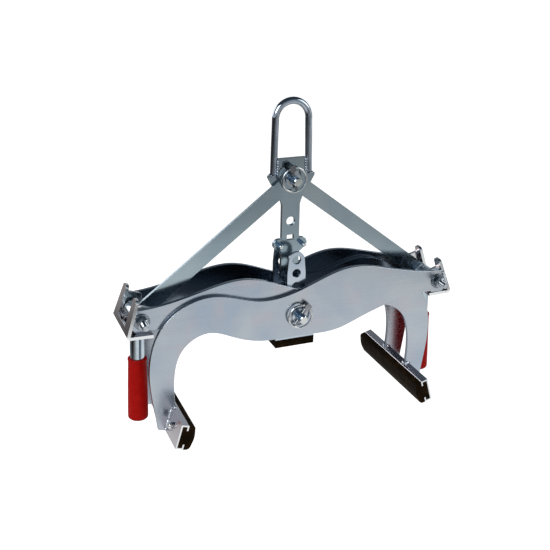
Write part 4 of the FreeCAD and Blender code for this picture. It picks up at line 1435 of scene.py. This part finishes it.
    def ceiling(self) -> None:
        """Glowing dome above the white surround, seen only in the metal's gloss: a painted reflection, pale
        at the horizon and darker upwards.
        """
        span = 90 - self.ceiling_from
        steps = [turned(self.ceiling_from + span * i / (self.ceiling_steps + 1))
                 for i in range(self.ceiling_steps + 1)]
        rings = [(self.ceiling_radius * step.x / MM, self.ceiling_radius * step.z / MM) for step in steps]
        mesh = spun("studio_ceiling", [*rings, (0.0, rings[-1][1])], LAYOUT.origin(), UP, segments=48)
        paint = bare_material("dark ceiling paint")
        tree = paint.node_tree
        place = add(tree, "ShaderNodeTexCoord").outputs["Object"]
        height = add(tree, "ShaderNodeSeparateXYZ", {0: place}).outputs["Z"]
        rise = add(tree, "ShaderNodeMapRange", {
            "Value": height, "From Min": rings[0][1] * MM, "From Max": self.ceiling_dark})
        # painted reflection: the glow goes from pale at the horizon to dark upwards
        shade = add(tree, "ShaderNodeMix", {0: rise, 6: linear("#C2CBD2"), 7: linear("#3B4650")},
                    data_type="RGBA")
        glow = add(tree, "ShaderNodeEmission", {"Color": shade.outputs[2], "Strength": 1.0})
        add(tree, "ShaderNodeOutputMaterial", {"Surface": glow})
        mesh.materials.append(paint)
        ceiling = piece_from("studio_ceiling", mesh)
        for ray in ("camera", "diffuse", "transmission", "shadow"):
            setattr(ceiling, f"visible_{ray}", False)

    def aimed(self, name: str, data: bpy.types.ID, place: tuple[float, float, float],
              roll: float = 0.0) -> bpy.types.Object:
        """Stand a lamp or a camera at a place, aimed at the tongs.

        Args:
            name: Name of the object.
            data: The lamp's or camera's data.
            place: Its place, in metres.
            roll: Its roll about the line of sight, in degrees.

        Returns:
            The object.
        """
        thing = piece_from(name, data)
        thing.location = place
        aim = Vector(self.camera_target) - Vector(place)
        turn = aim.to_track_quat("-Z", "Y") @ Quaternion(UP, math.radians(roll))
        thing.rotation_euler = turn.to_euler()
        return thing

    def lamp(self, softbox: Softbox) -> None:
        """Square softbox aimed at the tongs.

        Args:
            softbox: Its name, place, side and power.
        """
        light = bpy.data.lights.new(softbox.name, "AREA")
        light.shape = "SQUARE"
        light.size = softbox.size
        light.energy = softbox.watts
        self.aimed(softbox.name, light, softbox.place)

    def camera(self) -> None:
        """Camera at the photograph's place, with its small roll."""
        lens = bpy.data.cameras.new("photograph_camera")
        lens.lens = self.lens
        lens.sensor_width = self.sensor
        bpy.context.scene.camera = self.aimed(lens.name, lens, self.camera_place, self.camera_roll)


def dress_nodes() -> None:
    """Give every CAD node that stays in view the finish of its slot."""
    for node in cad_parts.values():
        for holder in node.material_slots:
            holder.material = FINISHES[holder.material.name.split(".")[0]].material()


def main() -> None:
    """Build the tongs' pieces in order, then the studio round them."""
    logging.basicConfig(level=logging.INFO, format="%(name)s: %(message)s")
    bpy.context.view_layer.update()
    dress_nodes()
    for side in Side:
        for assembly in (Arm(side), JawPad(side), Handle(side), EndBolt(side), Tie(side)):
            assembly.build()
    Hanger().build()
    PinSet(PinPlace.TOP, "hanger", rise=LAYOUT.top_pin_rise, ring_y=-17.5, linch_turn=104.0).build()
    PinSet(PinPlace.CENTRE, "centre", rise=0.0, ring_y=-62.2, linch_turn=55.0).build()
    DepthStop().build()
    Studio().build()


if __name__ == "__main__":
    main()
